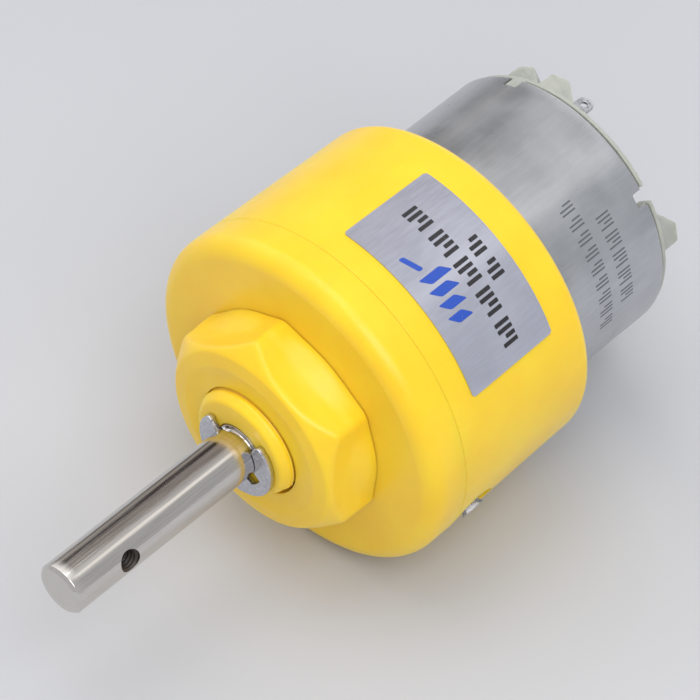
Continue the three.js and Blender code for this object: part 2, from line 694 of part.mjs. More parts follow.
// Three-pole lamination stack.
function armatureCore() {
  const hubR = 3.2;
  const shoeR = 8.9;
  const armAt = (radius) => THREE.MathUtils.radToDeg(Math.asin(ARM_HALF_WIDTH / radius));
  const points = [];
  for (let pole = 0; pole < POLES; pole += 1) {
    const centre = (360 / POLES) * pole;
    points.push(polar(hubR, centre - armAt(hubR)), polar(shoeR, centre - armAt(shoeR)));
    points.push(polar(shoeR, centre - 50));
    for (let step = -52; step <= 52; step += 8) {
      points.push(polar(CORE_R, centre + step));
    }
    points.push(polar(shoeR, centre + 50));
    points.push(polar(shoeR, centre + armAt(shoeR)), polar(hubR, centre + armAt(hubR)));
  }
  const shape = new THREE.Shape(points);
  shape.holes.push(new THREE.Path().absarc(0, 0, ROTOR_SHAFT_R + SEAT_GAP, 0, 2 * Math.PI, true));
  return prism(shape, CORE);
}

// A winding round one pole's arm, standing proud of the stack at both ends.
function armatureCoil(angle) {
  const half = [[4.4, 4], [6.2, 5.3], [8.5, 1.4]];
  const far = half.map(([out, aside]) => new THREE.Vector2(out, -aside));
  const near = half.map(([out, aside]) => new THREE.Vector2(out, aside)).reverse();
  const winding = new THREE.Shape([...far, ...near]);
  const wound = prism(winding, [CORE[0] - COIL_OVERHANG, CORE[1] + COIL_OVERHANG]);
  const arm = block([3, 10], 2 * ARM_HALF_WIDTH + 0.1, [CORE[0] - 0.05, CORE[1] + 0.05], 0);
  return turnTo(cut(wound, arm), angle);
}

function commutatorDrum() {
  return turned([
    [ROTOR_SHAFT_R + SEAT_GAP, COMMUTATOR[0]],
    [DRUM_R, COMMUTATOR[0]],
    [DRUM_R, COMMUTATOR[1] - DRUM_HEAD],
    [DRUM_HEAD_R, COMMUTATOR[1] - DRUM_HEAD],
    [DRUM_HEAD_R, COMMUTATOR[1]],
    [ROTOR_SHAFT_R + SEAT_GAP, COMMUTATOR[1]],
  ], ROUND_SMALL);
}

function commutatorSegment(angle) {
  const arc = new THREE.Shape();
  const half = radians(SEGMENT_SPAN / 2);
  arc.absarc(0, 0, COMMUTATOR_R, -half, half, false);
  arc.absarc(0, 0, DRUM_R + 0.05, half, -half, true);
  const span = [COMMUTATOR[0] + 0.1, COMMUTATOR[1] - DRUM_HEAD - 0.1];
  return turnTo(prism(arc, span, 6), angle);
}

// ---- Assembly -----------------------------------------------------------------------------

const PLASTIC_YELLOW = { color: 0xf2bf35, roughness: 0.42, metalness: 0 };
const NYLON_CREAM = { color: 0xdfe0cc, roughness: 0.55, metalness: 0 };
const ACETAL_WHITE = { color: 0xeeece4, roughness: 0.5, metalness: 0 };
const NICKEL_STEEL = { color: 0xbdb8b0, roughness: 0.2, metalness: 1 };
const ZINC_STEEL = { color: 0xa3a6aa, roughness: 0.4, metalness: 1 };
const LABEL_FOIL = { color: 0xb2b6c8, roughness: 0.35, metalness: 0.7 };
const BRASS = { color: 0xc9a24a, roughness: 0.3, metalness: 1 };
const COPPER = { color: 0xb4683c, roughness: 0.35, metalness: 1 };
const BRONZE = { color: 0x8f7350, roughness: 0.5, metalness: 1 };
const FERRITE = { color: 0x3a3a3c, roughness: 0.7, metalness: 0 };
const LAMINATION = { color: 0x77797c, roughness: 0.5, metalness: 1 };
const PHENOLIC = { color: 0x5b3a24, roughness: 0.6, metalness: 0 };

function part(name, geometry, finish) {
  const mesh = new THREE.Mesh(geometry, new THREE.MeshStandardMaterial(finish));
  mesh.name = name;
  return mesh;
}

// Pieces that stay with the housing.
function housingGroup() {
  const group = new THREE.Group();
  group.add(part("front_cap", frontCap(), PLASTIC_YELLOW));
  group.add(part("gearbox_barrel", gearboxBarrel(), PLASTIC_YELLOW));
  group.add(part("rating_label", ratingLabel(), LABEL_FOIL));
  CAP_SCREW_ANGLES.forEach((angle, i) => {
    group.add(part(`cap_screw_${i + 1}`, capScrew(angle), NICKEL_STEEL));
  });
  MOTOR_SCREW_ANGLES.forEach((angle, i) => {
    group.add(part(`motor_screw_${i + 1}`, motorScrew(angle), ZINC_STEEL));
  });
  [train.first, train.second].forEach((centre, i) => {
    const pin = moveTo(tube(0, GEAR_PIN_R, GEAR_PIN, ROUND_SMALL), centre);
    group.add(part(`gear_pin_${i + 1}`, pin, NICKEL_STEEL));
  });
  const spacerSpan = [FIRST_SMALL[1] + 0.2, -CAP_PLATE - 0.1];
  const spacer = moveTo(tube(GEAR_BORE_R, SPACER_R, spacerSpan, ROUND_SMALL), train.first);
  group.add(part("gear_spacer", spacer, BRASS));
  return group;
}

function motorGroup() {
  const group = new THREE.Group();
  const frontBearing = tube(BEARING_BORE_R, BEARING_R, [CAN_FRONT - 1.2, MOTOR_BOSS_FRONT - 0.1], ROUND_SMALL);
  const rearBearing = tube(BEARING_BORE_R, BEARING_R, [END_BOSS_REAR + 0.9, END_CAP_FRONT], ROUND_SMALL);
  group.add(part("motor_can", motorCan(), ZINC_STEEL));
  group.add(part("motor_end_cap", motorEndCap(), NYLON_CREAM));
  group.add(part("front_bearing", frontBearing, BRONZE));
  group.add(part("rear_bearing", rearBearing, BRONZE));
  MAGNET_ANGLES.forEach((angle, i) => {
    group.add(part(`magnet_${i + 1}`, magnet(angle), FERRITE));
  });
  group.add(part("magnet_spring", magnetSpring(), ZINC_STEEL));
  TERMINAL_ANGLES.forEach((angle, i) => {
    group.add(part(`terminal_${i + 1}`, terminal(angle), BRASS));
    group.add(part(`brush_${i + 1}`, brush(angle), COPPER));
  });
  return group;
}

function outputGroup() {
  const group = new THREE.Group();
  group.add(part("output_shaft", outputShaft(), NICKEL_STEEL));
  group.add(part("output_gear", outputGear(), ACETAL_WHITE));
  group.add(part("shaft_clip", shaftClip(), NICKEL_STEEL));
  group.add(part("thrust_washer", tube(SHAFT_R + 0.05, 5.5, THRUST_WASHER), NICKEL_STEEL));
  return group;
}

function reductionGroup() {
  const group = new THREE.Group();
  const { first, second, firstPhase, secondPhase } = train;
  const firstGear = compoundGear(FIRST_TEETH, FIRST_BIG, FIRST_SMALL, firstPhase, first);
  const secondGear = compoundGear(SECOND_TEETH, SECOND_BIG, SECOND_SMALL, secondPhase, second);
  group.add(part("first_reduction_gear", firstGear, ACETAL_WHITE));
  group.add(part("second_reduction_gear", secondGear, ACETAL_WHITE));
  return group;
}

function rotorGroup() {
  const group = new THREE.Group();
  const pinion = spurGear(PINION_TEETH, MOTOR_PINION, train.pinionPhase, ROTOR_SHAFT_R + SEAT_GAP);
  group.add(part("rotor_shaft", tube(0, ROTOR_SHAFT_R, ROTOR_SHAFT, ROUND_SMALL), NICKEL_STEEL));
  group.add(part("motor_pinion", pinion, BRASS));
  group.add(part("armature_core", armatureCore(), LAMINATION));
  group.add(part("commutator_drum", commutatorDrum(), PHENOLIC));
  for (let i = 0; i < POLES; i += 1) {
    const angle = (360 / POLES) * i;
    group.add(part(`armature_coil_${i + 1}`, armatureCoil(angle), COPPER));
    group.add(part(`commutator_segment_${i + 1}`, commutatorSegment(angle + 60), COPPER));
  }
  ROTOR_WASHERS.forEach((span, i) => {
    const washer = tube(ROTOR_SHAFT_R + SEAT_GAP, ROTOR_WASHER_R, span, ROUND_SMALL);
    group.add(part(`rotor_washer_${i + 1}`, washer, PHENOLIC));
  });
  return group;
}

const gearedMotor = new THREE.Group();
gearedMotor.add(housingGroup(), motorGroup(), outputGroup(), reductionGroup(), rotorGroup());
gearedMotor.add(part("panel_nut", panelNut(), PLASTIC_YELLOW));

export default gearedMotor;
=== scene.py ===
"""Geared dc motor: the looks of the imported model.

A "station" is a distance forward of the mounting face along the output shaft, so y = -station.
An "angle" turns about the shaft from +X towards +Z. Both, and every radius, are in millimetres
and degrees here, and the mesh helpers write metres into the meshes.
"""

import json
import math

import bmesh
import bpy
from mathutils import Matrix, Vector


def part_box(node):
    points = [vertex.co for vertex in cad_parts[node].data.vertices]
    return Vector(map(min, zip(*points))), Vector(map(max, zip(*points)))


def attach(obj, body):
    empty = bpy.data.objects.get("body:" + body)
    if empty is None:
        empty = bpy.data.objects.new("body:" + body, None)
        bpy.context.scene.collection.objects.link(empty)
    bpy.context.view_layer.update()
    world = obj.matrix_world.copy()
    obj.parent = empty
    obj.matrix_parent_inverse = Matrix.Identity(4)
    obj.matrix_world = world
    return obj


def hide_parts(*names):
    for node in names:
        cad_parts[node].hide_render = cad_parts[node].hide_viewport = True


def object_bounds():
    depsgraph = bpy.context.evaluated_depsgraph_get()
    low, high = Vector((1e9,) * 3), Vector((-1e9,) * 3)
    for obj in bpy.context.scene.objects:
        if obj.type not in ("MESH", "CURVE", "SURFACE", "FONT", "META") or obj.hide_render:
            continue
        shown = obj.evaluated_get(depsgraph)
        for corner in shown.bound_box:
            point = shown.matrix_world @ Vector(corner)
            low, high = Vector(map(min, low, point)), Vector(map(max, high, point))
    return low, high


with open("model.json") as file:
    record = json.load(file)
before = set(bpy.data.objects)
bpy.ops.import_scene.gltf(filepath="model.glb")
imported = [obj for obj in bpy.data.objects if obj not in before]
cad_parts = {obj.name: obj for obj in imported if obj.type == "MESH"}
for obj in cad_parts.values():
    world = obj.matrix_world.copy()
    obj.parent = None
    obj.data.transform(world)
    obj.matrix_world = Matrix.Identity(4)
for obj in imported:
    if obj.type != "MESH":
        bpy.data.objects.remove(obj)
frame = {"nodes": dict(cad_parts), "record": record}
cad_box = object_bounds()

MM = 0.001

# ---- Driving dimensions, in millimetres and degrees ---------------------------------------------

SHAFT_R = 3.0
SHAFT_TIP = 34.3
SHAFT_REAR = -8.3
SHAFT_BEVEL = 0.35
HOLE_R = 1.3
HOLE_STATION = 26.9
HOLE_ANGLE = 12.8
HOLE_PITCH = 0.5

CLIP_R = 5.65
CLIP_REAR = 8.15
CLIP_FRONT = 8.85
CLIP_OPENING = 94
GROOVE_R = 2.5
GROOVE_PLAY = 0.05

CAP_R = 20.5
CAP_EDGE = 2.2
CAP_PLATE = 2.2
NECK_R = 6.7
NECK_END = 8.1
NECK_TIP_R = 6.05
NECK_TIP = 7.1
NECK_FLAT = 5.8
NECK_FLAT_ANGLE = -47
NECK_THREAD = (0.9, 6.9)
THREAD_PITCH = 1.25
THREAD_DEPTH = 0.45
THREAD_RUN_OUT = 0.5
SEAM = -5.0
SEAM_HALF = 0.004
TAB_R = 15.5
TAB_WIDTH = 6
TAB_REAR = -11

BARREL_FRONT_R = 20.45
BARREL_REAR_R = 20.0
BARREL_REAR = -25.4
BARREL_BORE_R = 18.35
WEB_FRONT = -20.5
WEB_REAR = -22.35
WEB_BORE_R = 3.3
SPIGOT_R = BARREL_BORE_R - 0.15
SPIGOT_REAR = -6.5
SPIGOT_WALL = 1.1
PIN_HOLE_R = 1.02
PIN_HOLE_REAR = -21.7
PIN_HOLE_FRONT = -1
PIN_BOSS_R = 1.9

NUT_FLATS = 23.0
NUT_REAR = 0.1
NUT_FRONT = 6.7
NUT_FACE = 6.56
NUT_BORE_R = 6.8
NUT_THREAD = (0.2, 6.2)
NUT_LIP_R = 6.74
NUT_LIP_REAR = 6.35
NUT_FLANGE_R = 12.45
NUT_FLANGE_DRAFT = 1.5
NUT_CORNER_R = 13.25
NUT_CORNER = 34
NUT_DISH = 0.1

SCREW_STATION = -8.2
SCREW_ANGLES = (-25, 205)
SCREW_POINT = 16
SCREW_SEAT = 19.0
SCREW_HEAD_R = 2.7
SCREW_TOP = 20.4
SCREW_THREAD_R = 1.15
SCREW_PILOT_R = 1.2
SCREW_HOLE_R = 1.35

LABEL_FRONT = -8.1
LABEL_REAR = -20.6
LABEL_ANGLES = (26.5, 90.5)
LABEL_LIFT = 0.03
LABEL_THICKNESS = 0.12
LABEL_CORNER = 0.45
LABEL_INK = 0.012
CAN_INK = 0.006

CAN_R = 16.2
CAN_WALL = 0.8
CAN_FRONT = -22.4
CAN_RIM = -41.7
CAN_HUB_R = 3.1
CAN_HUB_FRONT = -20.7
BEARING_SEAT_R = 2.2
NOTCHES = (37.7, 111.3, 217.7, 291.3)
NOTCH_WIDTH = 2.0
NOTCH_FRONT = -40.3
CLEAR_OF_CAN = 17.5
MOTOR_SCREWS = ((12.5, -45), (12.5, 135))
MOTOR_SCREW_POINT = -24.5
MOTOR_SCREW_THREAD_R = 1.25
MOTOR_SCREW_HOLE_R = 1.4
MOTOR_SCREW_HEAD_R = 2.3
CAN_SCREW_HOLE_R = 1.3

FLANGE_R = 15.9
FLANGE_FRONT = -42.05
FLANGE_REAR = -42.6
END_FLOOR = -41.4
END_FLOOR_R = 13.6
PLUG_R = CAN_R - CAN_WALL - 0.08
PLUG_FRONT = -39.6
BOSS_R = 4.2
BOSS_REAR = -43.5
BOSS_BORE_R = 1.2
BOSS_WALL = 0.8
LUG_TIP = -45.1
LUG_R = (13.7, 15.8)
LUG_BASE_WIDTH = 5.2
LUG_TIP_WIDTH = 2.5
LUGS = ((8.2, 1), (104, -1), (123.5, -1), (188.2, 1), (284, -1), (303.5, -1))
TERMINALS = (83, 263)
TERMINAL_R = (14.5, 14.9)
TERMINAL_WIDTH = 1.9
TERMINAL_REAR = -45.0
TERMINAL_FRONT = -36.8
TERMINAL_EYE_R = 0.4

# Facets round a turned piece.
FINE = 240
ROUND = 96
SMALL = 48
NUT_FACETS = 300


# ---- Mesh helpers -------------------------------------------------------------------------------

def spot(radius, station, angle):
    """A point in metres from a radius and a station in millimetres, and an angle in degrees."""
    turn = math.radians(angle)
    return Vector((radius * math.cos(turn), -station, radius * math.sin(turn))) * MM


def keep(name, bm):
    """Makes an object of a bmesh, with its normals facing outward."""
    bmesh.ops.recalc_face_normals(bm, faces=bm.faces)
    mesh = bpy.data.meshes.new(name)
    bm.to_mesh(mesh)
    bm.free()
    piece = bpy.data.objects.new(name, mesh)
    bpy.context.scene.collection.objects.link(piece)
    return piece


def rounded(*corners, step=12):
    """An outline with an arc at every corner that gives a fillet radius as its third number."""
    points = []
    for index, corner in enumerate(corners):
        here = Vector(corner[:2])
        if len(corner) == 2:
            points.append(here)
            continue
        back = (Vector(corners[index - 1][:2]) - here).normalized()
        ahead = (Vector(corners[(index + 1) % len(corners)][:2]) - here).normalized()
        half = back.angle(ahead) / 2
        centre = here + (back + ahead).normalized() * corner[2] / math.sin(half)
        start = here + back * corner[2] / math.tan(half) - centre
        sweep = math.copysign(math.pi - 2 * half, back.x * ahead.y - back.y * ahead.x)
        steps = max(2, math.ceil(abs(math.degrees(sweep)) / step))
        for k in range(steps + 1):
            points.append(centre + Matrix.Rotation(-sweep * k / steps, 2) @ start)
    return points


def run(start, end, longest):
    """Points from a start up to, and without, an end, no further apart than the longest step."""
    start, end = Vector(start), Vector(end)
    parts = max(1, math.ceil((end - start).length / longest))
    return [start.lerp(end, k / parts) for k in range(parts)]


def split(outline, longest):
    """The same closed outline with its long runs divided."""
    points = []
    for index, here in enumerate(outline):
        points += run(here, outline[(index + 1) % len(outline)], longest)
    return points


def turned(name, outline, facets, radius_at=None):
    """A solid of revolution from a closed outline of (radius, station) points."""
    bm = bmesh.new()
    rings = []
    for radius, station in outline:
        if radius < 1e-4:
            rings.append([bm.verts.new(spot(0, station, 0))])
            continue
        ring = []
        for k in range(facets):
            angle = 360 * k / facets
            reach = radius_at(radius, station, angle) if radius_at else radius
            ring.append(bm.verts.new(spot(reach, station, angle)))
        rings.append(ring)
    for ring, ahead in zip(rings, rings[1:] + rings[:1]):
        if len(ring) + len(ahead) == 2:
            continue
        for k in range(facets):
            quad = [ring[k % len(ring)], ring[(k + 1) % len(ring)]]
            quad += [ahead[(k + 1) % len(ahead)], ahead[k % len(ahead)]]
            bm.faces.new(list(dict.fromkeys(quad)))
    return keep(name, bm)


def rod(name, radius, rear, front):
    """A plain round rod along the shaft axis."""
    return turned(name, [(0, rear), (radius, rear), (radius, front), (0, front)], SMALL)


def join_loops(name, near, far, split_ends=False):
    """A closed solid between two loops with as many points each, in metres."""
    bm = bmesh.new()
    loops = [[bm.verts.new(point) for point in loop] for loop in (near, far)]
    ends = [bm.faces.new(loop) for loop in loops]
    for k in range(len(near)):
        ahead = (k + 1) % len(near)
        bm.faces.new([loops[0][k], loops[0][ahead], loops[1][ahead], loops[1][k]])
    if split_ends:
        bmesh.ops.triangulate(bm, faces=ends)
    return keep(name, bm)


def prism(name, outline, rear, front):
    """A flat outline of (x, z) points carried from one station to another."""
    near, far = ([(x * MM, -station * MM, z * MM) for x, z in outline] for station in (rear, front))
    return join_loops(name, near, far)


def swing(piece, angle):
    """Turns a piece about the shaft axis."""
    piece.data.transform(Matrix.Rotation(-math.radians(angle), 4, "Y"))
    return piece


def block(name, radii, width, stations, angle):
    """A block that stands at an angle: radial span, tangential width, station span."""
    inner, outer = radii
    half = width / 2
    outline = [(inner, -half), (outer, -half), (outer, half), (inner, half)]
    return swing(prism(name, outline, *stations), angle)


def stand(piece, station, angle):
    """Turns a piece made along the shaft so that its stations become distances from the shaft axis."""
    turn = Matrix.Rotation(-math.radians(angle), 4, "Y") @ Matrix.Rotation(math.pi / 2, 4, "Z")
    piece.data.transform(Matrix.Translation((0, -station * MM, 0)) @ turn)
    return piece


def shift(piece, radius, angle):
    """Moves a piece from the shaft axis to a parallel one."""
    piece.data.transform(Matrix.Translation(spot(radius, 0, angle)))
    return piece


def settle(piece):
    """Applies a piece's modifiers."""
    graph = bpy.context.evaluated_depsgraph_get()
    mesh = bpy.data.meshes.new_from_object(piece.evaluated_get(graph))
    piece.modifiers.clear()
    old = piece.data
    piece.data = mesh
    mesh.name = piece.name
    bpy.data.meshes.remove(old)
    return piece


def combine(piece, operation, tools):
    """Joins other solids to a piece, or cuts them out of it."""
    for tool in tools:
        modifier = piece.modifiers.new("combine", "BOOLEAN")
        modifier.operation = operation
        modifier.solver = "EXACT"
        modifier.object = tool
        settle(piece)
        bpy.data.objects.remove(tool)
    return piece


def soften(piece, width, segments=3, angle=35):
    """Rounds a piece's sharp edges."""
    modifier = piece.modifiers.new("soften", "BEVEL")
    modifier.width = width * MM
    modifier.segments = segments
    modifier.limit_method = "ANGLE"
    modifier.angle_limit = math.radians(angle)
    modifier.use_clamp_overlap = True
    return settle(piece)


def smooth(piece, angle=32):
    """Smooth shading that breaks at sharp edges."""
    mesh = piece.data
    mesh.polygons.foreach_set("use_smooth", [True] * len(mesh.polygons))
    mesh.set_sharp_from_angle(angle=math.radians(angle))
    modifier = piece.modifiers.new("weigh", "WEIGHTED_NORMAL")
    modifier.keep_sharp = True
    return settle(piece)


def place(piece, body, material, *nodes):
    """Gives a piece its finish and its body, and hides the CAD nodes that it stands for."""
    piece.data.materials.clear()
    piece.data.materials.append(material)
    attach(piece, body)
    if nodes:
        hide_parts(*nodes)
    return piece


def blend_min(a, b, reach):
    """The smaller of two lengths, with a round corner where they meet."""
    share = max(0.0, reach - abs(a - b)) / reach
    return min(a, b) - share * share * reach / 4


def blend_max(a, b, reach):
    """The larger of two lengths, with a round corner where they meet."""
    return -blend_min(-a, -b, reach)


def ramp_between(value, low, high):
    """0 below low, 1 above high, and a smooth rise between."""
    share = min(1.0, max(0.0, (value - low) / (high - low)))
    return share * share * (3 - 2 * share)


# ---- Materials ----------------------------------------------------------------------------------

class Finish:
    """A procedural material whose textures lie in the part's own frame."""

    def __init__(self, name, roughness, metallic=0.0):
        self.material = bpy.data.materials.new(name)
        self.material.use_nodes = True
        self.tree = self.material.node_tree
        self.shader = self.tree.nodes["Principled BSDF"]
        self.set("Metallic", metallic)
        self.set("Roughness", roughness)
        self.coordinates = self.tree.nodes.new("ShaderNodeTexCoord").outputs["Object"]

    def set(self, socket, value):
        """Gives one of the shader's sockets a value that is the same all over the surface."""
        self.shader.inputs[socket].default_value = value

    def link(self, source, socket):
        self.tree.links.new(source, socket)

    def stretched(self, x, y, z):
        """The part's coordinates, stretched so that a texture draws out along an axis."""
        mapping = self.tree.nodes.new("ShaderNodeMapping")
        mapping.inputs["Scale"].default_value = (x, y, z)
        self.link(self.coordinates, mapping.inputs["Vector"])
        return mapping.outputs["Vector"]

    def noise(self, size, detail=3.0, roughness=0.55, where=None, distortion=0.0):
        """Noise whose features are about this many millimetres across."""
        node = self.tree.nodes.new("ShaderNodeTexNoise")
        node.inputs["Scale"].default_value = 1 / (size * MM)
        node.inputs["Detail"].default_value = detail
        node.inputs["Roughness"].default_value = roughness
        node.inputs["Distortion"].default_value = distortion
        self.link(where or self.coordinates, node.inputs["Vector"])
        return node.outputs["Fac"]

    def spots(self, size):
        """Distance to scattered points about this many millimetres apart."""
        node = self.tree.nodes.new("ShaderNodeTexVoronoi")
        node.inputs["Scale"].default_value = 1 / (size * MM)
        self.link(self.coordinates, node.inputs["Vector"])
        return node.outputs["Distance"]

    def remap(self, source, low, high, to_low=0.0, to_high=1.0):
        """A smooth rise from one value to another while the source goes from low to high."""
        node = self.tree.nodes.new("ShaderNodeMapRange")
        node.interpolation_type = "SMOOTHSTEP"
        values = (low, high, to_low, to_high)
        for socket, value in zip(("From Min", "From Max", "To Min", "To Max"), values):
            node.inputs[socket].default_value = value
        self.link(source, node.inputs["Value"])
        return node.outputs["Result"]

    def times(self, a, b):
        """A node's output times a number or another node's output."""
        node = self.tree.nodes.new("ShaderNodeMath")
        node.operation = "MULTIPLY"
        self.link(a, node.inputs[0])
        if isinstance(b, float):
            node.inputs[1].default_value = b
        else:
            self.link(b, node.inputs[1])
        return node.outputs["Value"]

    def mix(self, share, under, over):
        """Colour over another where the share is 1. Each is a colour or another node's output."""
        node = self.tree.nodes.new("ShaderNodeMix")
        node.data_type = "RGBA"
        self.link(share, node.inputs["Factor"])
        for socket, colour in ((node.inputs[6], under), (node.inputs[7], over)):
            if isinstance(colour, tuple):
                socket.default_value = (*colour, 1)
            else:
                self.link(colour, socket)
        return node.outputs[2]

    def colour(self, source):
        self.link(source, self.shader.inputs["Base Color"])

    def roughness(self, source):
        self.link(source, self.shader.inputs["Roughness"])

    def relief(self, height, depth, after=None):
        """Bump from a height that runs from 0 to 1, over a depth in millimetres."""
        node = self.tree.nodes.new("ShaderNodeBump")
        node.inputs["Distance"].default_value = depth * MM
        self.link(height, node.inputs["Height"])
        if after:
            self.link(after, node.inputs["Normal"])
        self.link(node.outputs["Normal"], self.shader.inputs["Normal"])
        return node.outputs["Normal"]


def yellow_plastic():
    """Moulded yellow plastic that light enters a little, with flow marks and rare dark specks."""
    deep, pale, dirt = (0.93, 0.59, 0.017), (0.965, 0.645, 0.024), (0.5, 0.26, 0.01)
    finish = Finish("yellow_plastic", 0.33)
    finish.set("IOR", 1.45)
    finish.set("Sheen Weight", 0.06)
    finish.set("Sheen Roughness", 0.5)
    finish.set("Subsurface Weight", 0.3)
    finish.set("Subsurface Radius", (1.0, 0.45, 0.08))
    finish.set("Subsurface Scale", 0.0025)
    flow = finish.noise(9, detail=2)
    tone = finish.mix(finish.remap(flow, 0.3, 0.7), deep, pale)
    speck = finish.remap(finish.spots(1.9), 0.0, 0.03, 1.0, 0.0)
    rare = finish.remap(finish.noise(3.1, detail=0), 0.64, 0.68)
    finish.colour(finish.mix(finish.times(finish.times(speck, rare), 0.15), tone, dirt))
    rub = finish.noise(1.6, detail=6, roughness=0.7)
    finish.roughness(finish.remap(rub, 0.35, 0.7, 0.30, 0.40))
    skin = finish.relief(finish.noise(6, detail=1), 0.02)
    finish.relief(finish.noise(0.9, detail=2), 0.003, after=skin)
    return finish.material


def label_foil():
    """Brushed silver foil, its grain drawn out along the shaft."""
    dull, clean, bright = (0.42, 0.43, 0.50), (0.47, 0.48, 0.55), (0.54, 0.56, 0.64)
    finish = Finish("label_foil", 0.24, 0.5)
    wash = finish.noise(7, detail=2)
    grain = finish.noise(0.3, detail=3, where=finish.stretched(1.0, 0.1, 1.0))
    tone = finish.mix(finish.remap(wash, 0.3, 0.7), dull, clean)
    finish.colour(finish.mix(finish.remap(grain, 0.3, 0.8, 0.0, 0.3), tone, bright))
    finish.roughness(finish.remap(grain, 0.3, 0.7, 0.2, 0.27))
    finish.relief(finish.noise(2.2, detail=2), 0.006)
    return finish.material


def ink(name, colour):
    """Printing ink, paler where it is worn."""
    finish = Finish(name, 0.45)
    worn = finish.remap(finish.noise(0.22, detail=4), 0.55, 0.8, 0.0, 0.5)
    paler = tuple(0.7 * channel + 0.12 for channel in colour)
    finish.colour(finish.mix(worn, colour, paler))
    finish.roughness(finish.remap(finish.noise(0.5), 0.3, 0.7, 0.38, 0.55))
    return finish.material


def steel(name, dark, light, roughness, along, size, depth):
    """Bare or plated metal with its working marks drawn out along an axis."""
    finish = Finish(name, roughness, 1.0)
    marks = finish.noise(size, detail=5, roughness=0.65, where=finish.stretched(*along))
    cloud = finish.noise(4, detail=3)
    tone = finish.mix(finish.remap(marks, 0.3, 0.7), dark, light)
    finish.colour(finish.mix(finish.remap(cloud, 0.45, 0.75, 0.0, 0.35), tone, dark))
    finish.roughness(finish.remap(marks, 0.3, 0.75, roughness * 0.75, roughness * 1.4))
    finish.relief(marks, depth)
    return finish.material


def zinc_steel():
    """Plated deep-drawn steel: clouds, drawing marks along the shaft, and patches of scuffs."""
    dull, clean = (0.44, 0.455, 0.475), (0.51, 0.525, 0.545)
    mark, scratch = (0.62, 0.63, 0.65), (0.80, 0.81, 0.83)
    finish = Finish("zinc_steel", 0.32, 0.9)
    drawn = finish.noise(0.5, detail=4, where=finish.stretched(1.0, 0.1, 1.0))
    cloud = finish.noise(6, detail=4)
    tone = finish.mix(finish.remap(cloud, 0.3, 0.7), dull, clean)
    tone = finish.mix(finish.remap(drawn, 0.4, 0.75, 0.0, 0.3), tone, mark)
    scuff = finish.noise(0.35, detail=5, roughness=0.75, distortion=0.8)
    patch = finish.remap(finish.noise(5, detail=1), 0.5, 0.66)
    rubbed = finish.times(finish.remap(scuff, 0.62, 0.7), patch)
    finish.colour(finish.mix(finish.times(rubbed, 0.4), tone, scratch))
    finish.roughness(finish.remap(cloud, 0.3, 0.75, 0.27, 0.33))
    skin = finish.relief(drawn, 0.002)
    finish.relief(scuff, 0.003, after=skin)
    return finish.material


def moulded(name, low, high, roughness, translucent=0.0):
    """A dull material: soft colour drift, a fine skin and duller patches."""
    finish = Finish(name, roughness)
    finish.set("Subsurface Weight", translucent)
    finish.set("Subsurface Radius", (1.0, 0.95, 0.7))
    finish.set("Subsurface Scale", 0.0015)
    drift = finish.noise(3.5, detail=3)
    finish.colour(finish.mix(finish.remap(drift, 0.3, 0.7), low, high))
    patch = finish.noise(1.1, detail=4)
    finish.roughness(finish.remap(patch, 0.3, 0.7, roughness * 0.85, roughness * 1.15))
    finish.relief(finish.noise(0.4, detail=3), 0.006)
    return finish.material


EVEN = (1.0, 1.0, 1.0)
ALONG_SHAFT = (1.0, 0.02, 1.0)
AROUND_SHAFT = (0.08, 1.0, 0.08)

# Each metal: its dark and light tone, roughness, way of its marks, their size and their depth.
METALS = {
    "nickel_steel": ((0.58, 0.55, 0.515), (0.68, 0.65, 0.615), 0.13, ALONG_SHAFT, 0.14, 0.0012),
    "clip_steel": ((0.46, 0.47, 0.52), (0.66, 0.67, 0.72), 0.2, EVEN, 0.3, 0.002),
    "screw_steel": ((0.52, 0.52, 0.53), (0.62, 0.62, 0.63), 0.26, EVEN, 0.3, 0.002),
    "lamination_steel": ((0.2, 0.2, 0.21), (0.4, 0.4, 0.41), 0.45, AROUND_SHAFT, 0.35, 0.02),
    "brass": ((0.56, 0.38, 0.12), (0.74, 0.54, 0.22), 0.26, ALONG_SHAFT, 0.3, 0.002),
    "bronze": ((0.22, 0.15, 0.08), (0.38, 0.26, 0.14), 0.5, EVEN, 0.2, 0.02),
    "copper": ((0.42, 0.16, 0.07), (0.62, 0.27, 0.12), 0.3, ALONG_SHAFT, 0.4, 0.03),
}

# Each moulded or pressed material: its two tones and roughness, and how much light enters it.
MOULDED = {
    "ferrite": ((0.03, 0.03, 0.032), (0.055, 0.055, 0.06), 0.7),
    # The end cap's cream nylon is given a dark grey-green: partly the nylon's own tone, partly painted
    # shade for its shadowed rim flange.
    "cream_nylon": ((0.36, 0.375, 0.335), (0.43, 0.44, 0.395), 0.4, 0.5),
    "white_acetal": ((0.78, 0.77, 0.73), (0.86, 0.85, 0.81), 0.42, 0.2),
    "brown_phenolic": ((0.09, 0.04, 0.018), (0.15, 0.07, 0.03), 0.6),
}

FINISHES = {"yellow_plastic": yellow_plastic(), "label_foil": label_foil(), "zinc_steel": zinc_steel()}
FINISHES.update({name: steel(name, *values) for name, values in METALS.items()})
FINISHES.update({name: moulded(name, *values) for name, values in MOULDED.items()})
BLACK_INK = ink("black_ink", (0.015, 0.014, 0.016))
BLUE_INK = ink("blue_ink", (0.015, 0.07, 0.42))
GREY_INK = ink("grey_ink", (0.10, 0.11, 0.12))
TIN_PLATE = steel("tin_plate", (0.40, 0.41, 0.44), (0.56, 0.57, 0.60), 0.35, EVEN, 0.3, 0.002)
# Near-black brown for the lining of the cross hole: painted shade that stands in for the dark inside of the
# hole, not the steel's own colour.
HOLE_SHADE_PAINT = moulded("painted_hole_shade", (0.018, 0.012, 0.009), (0.05, 0.036, 0.028), 0.5)
SLOT_OF = {row["node"]: row["material_slot"] for row in frame["record"]["subparts"]}


def show(piece, body, *nodes):
    """Places a piece that stands for CAD nodes, in those nodes' own finish."""
    slot = SLOT_OF[nodes[0]]
    place(piece, body, FINISHES[slot], *nodes)
    return piece


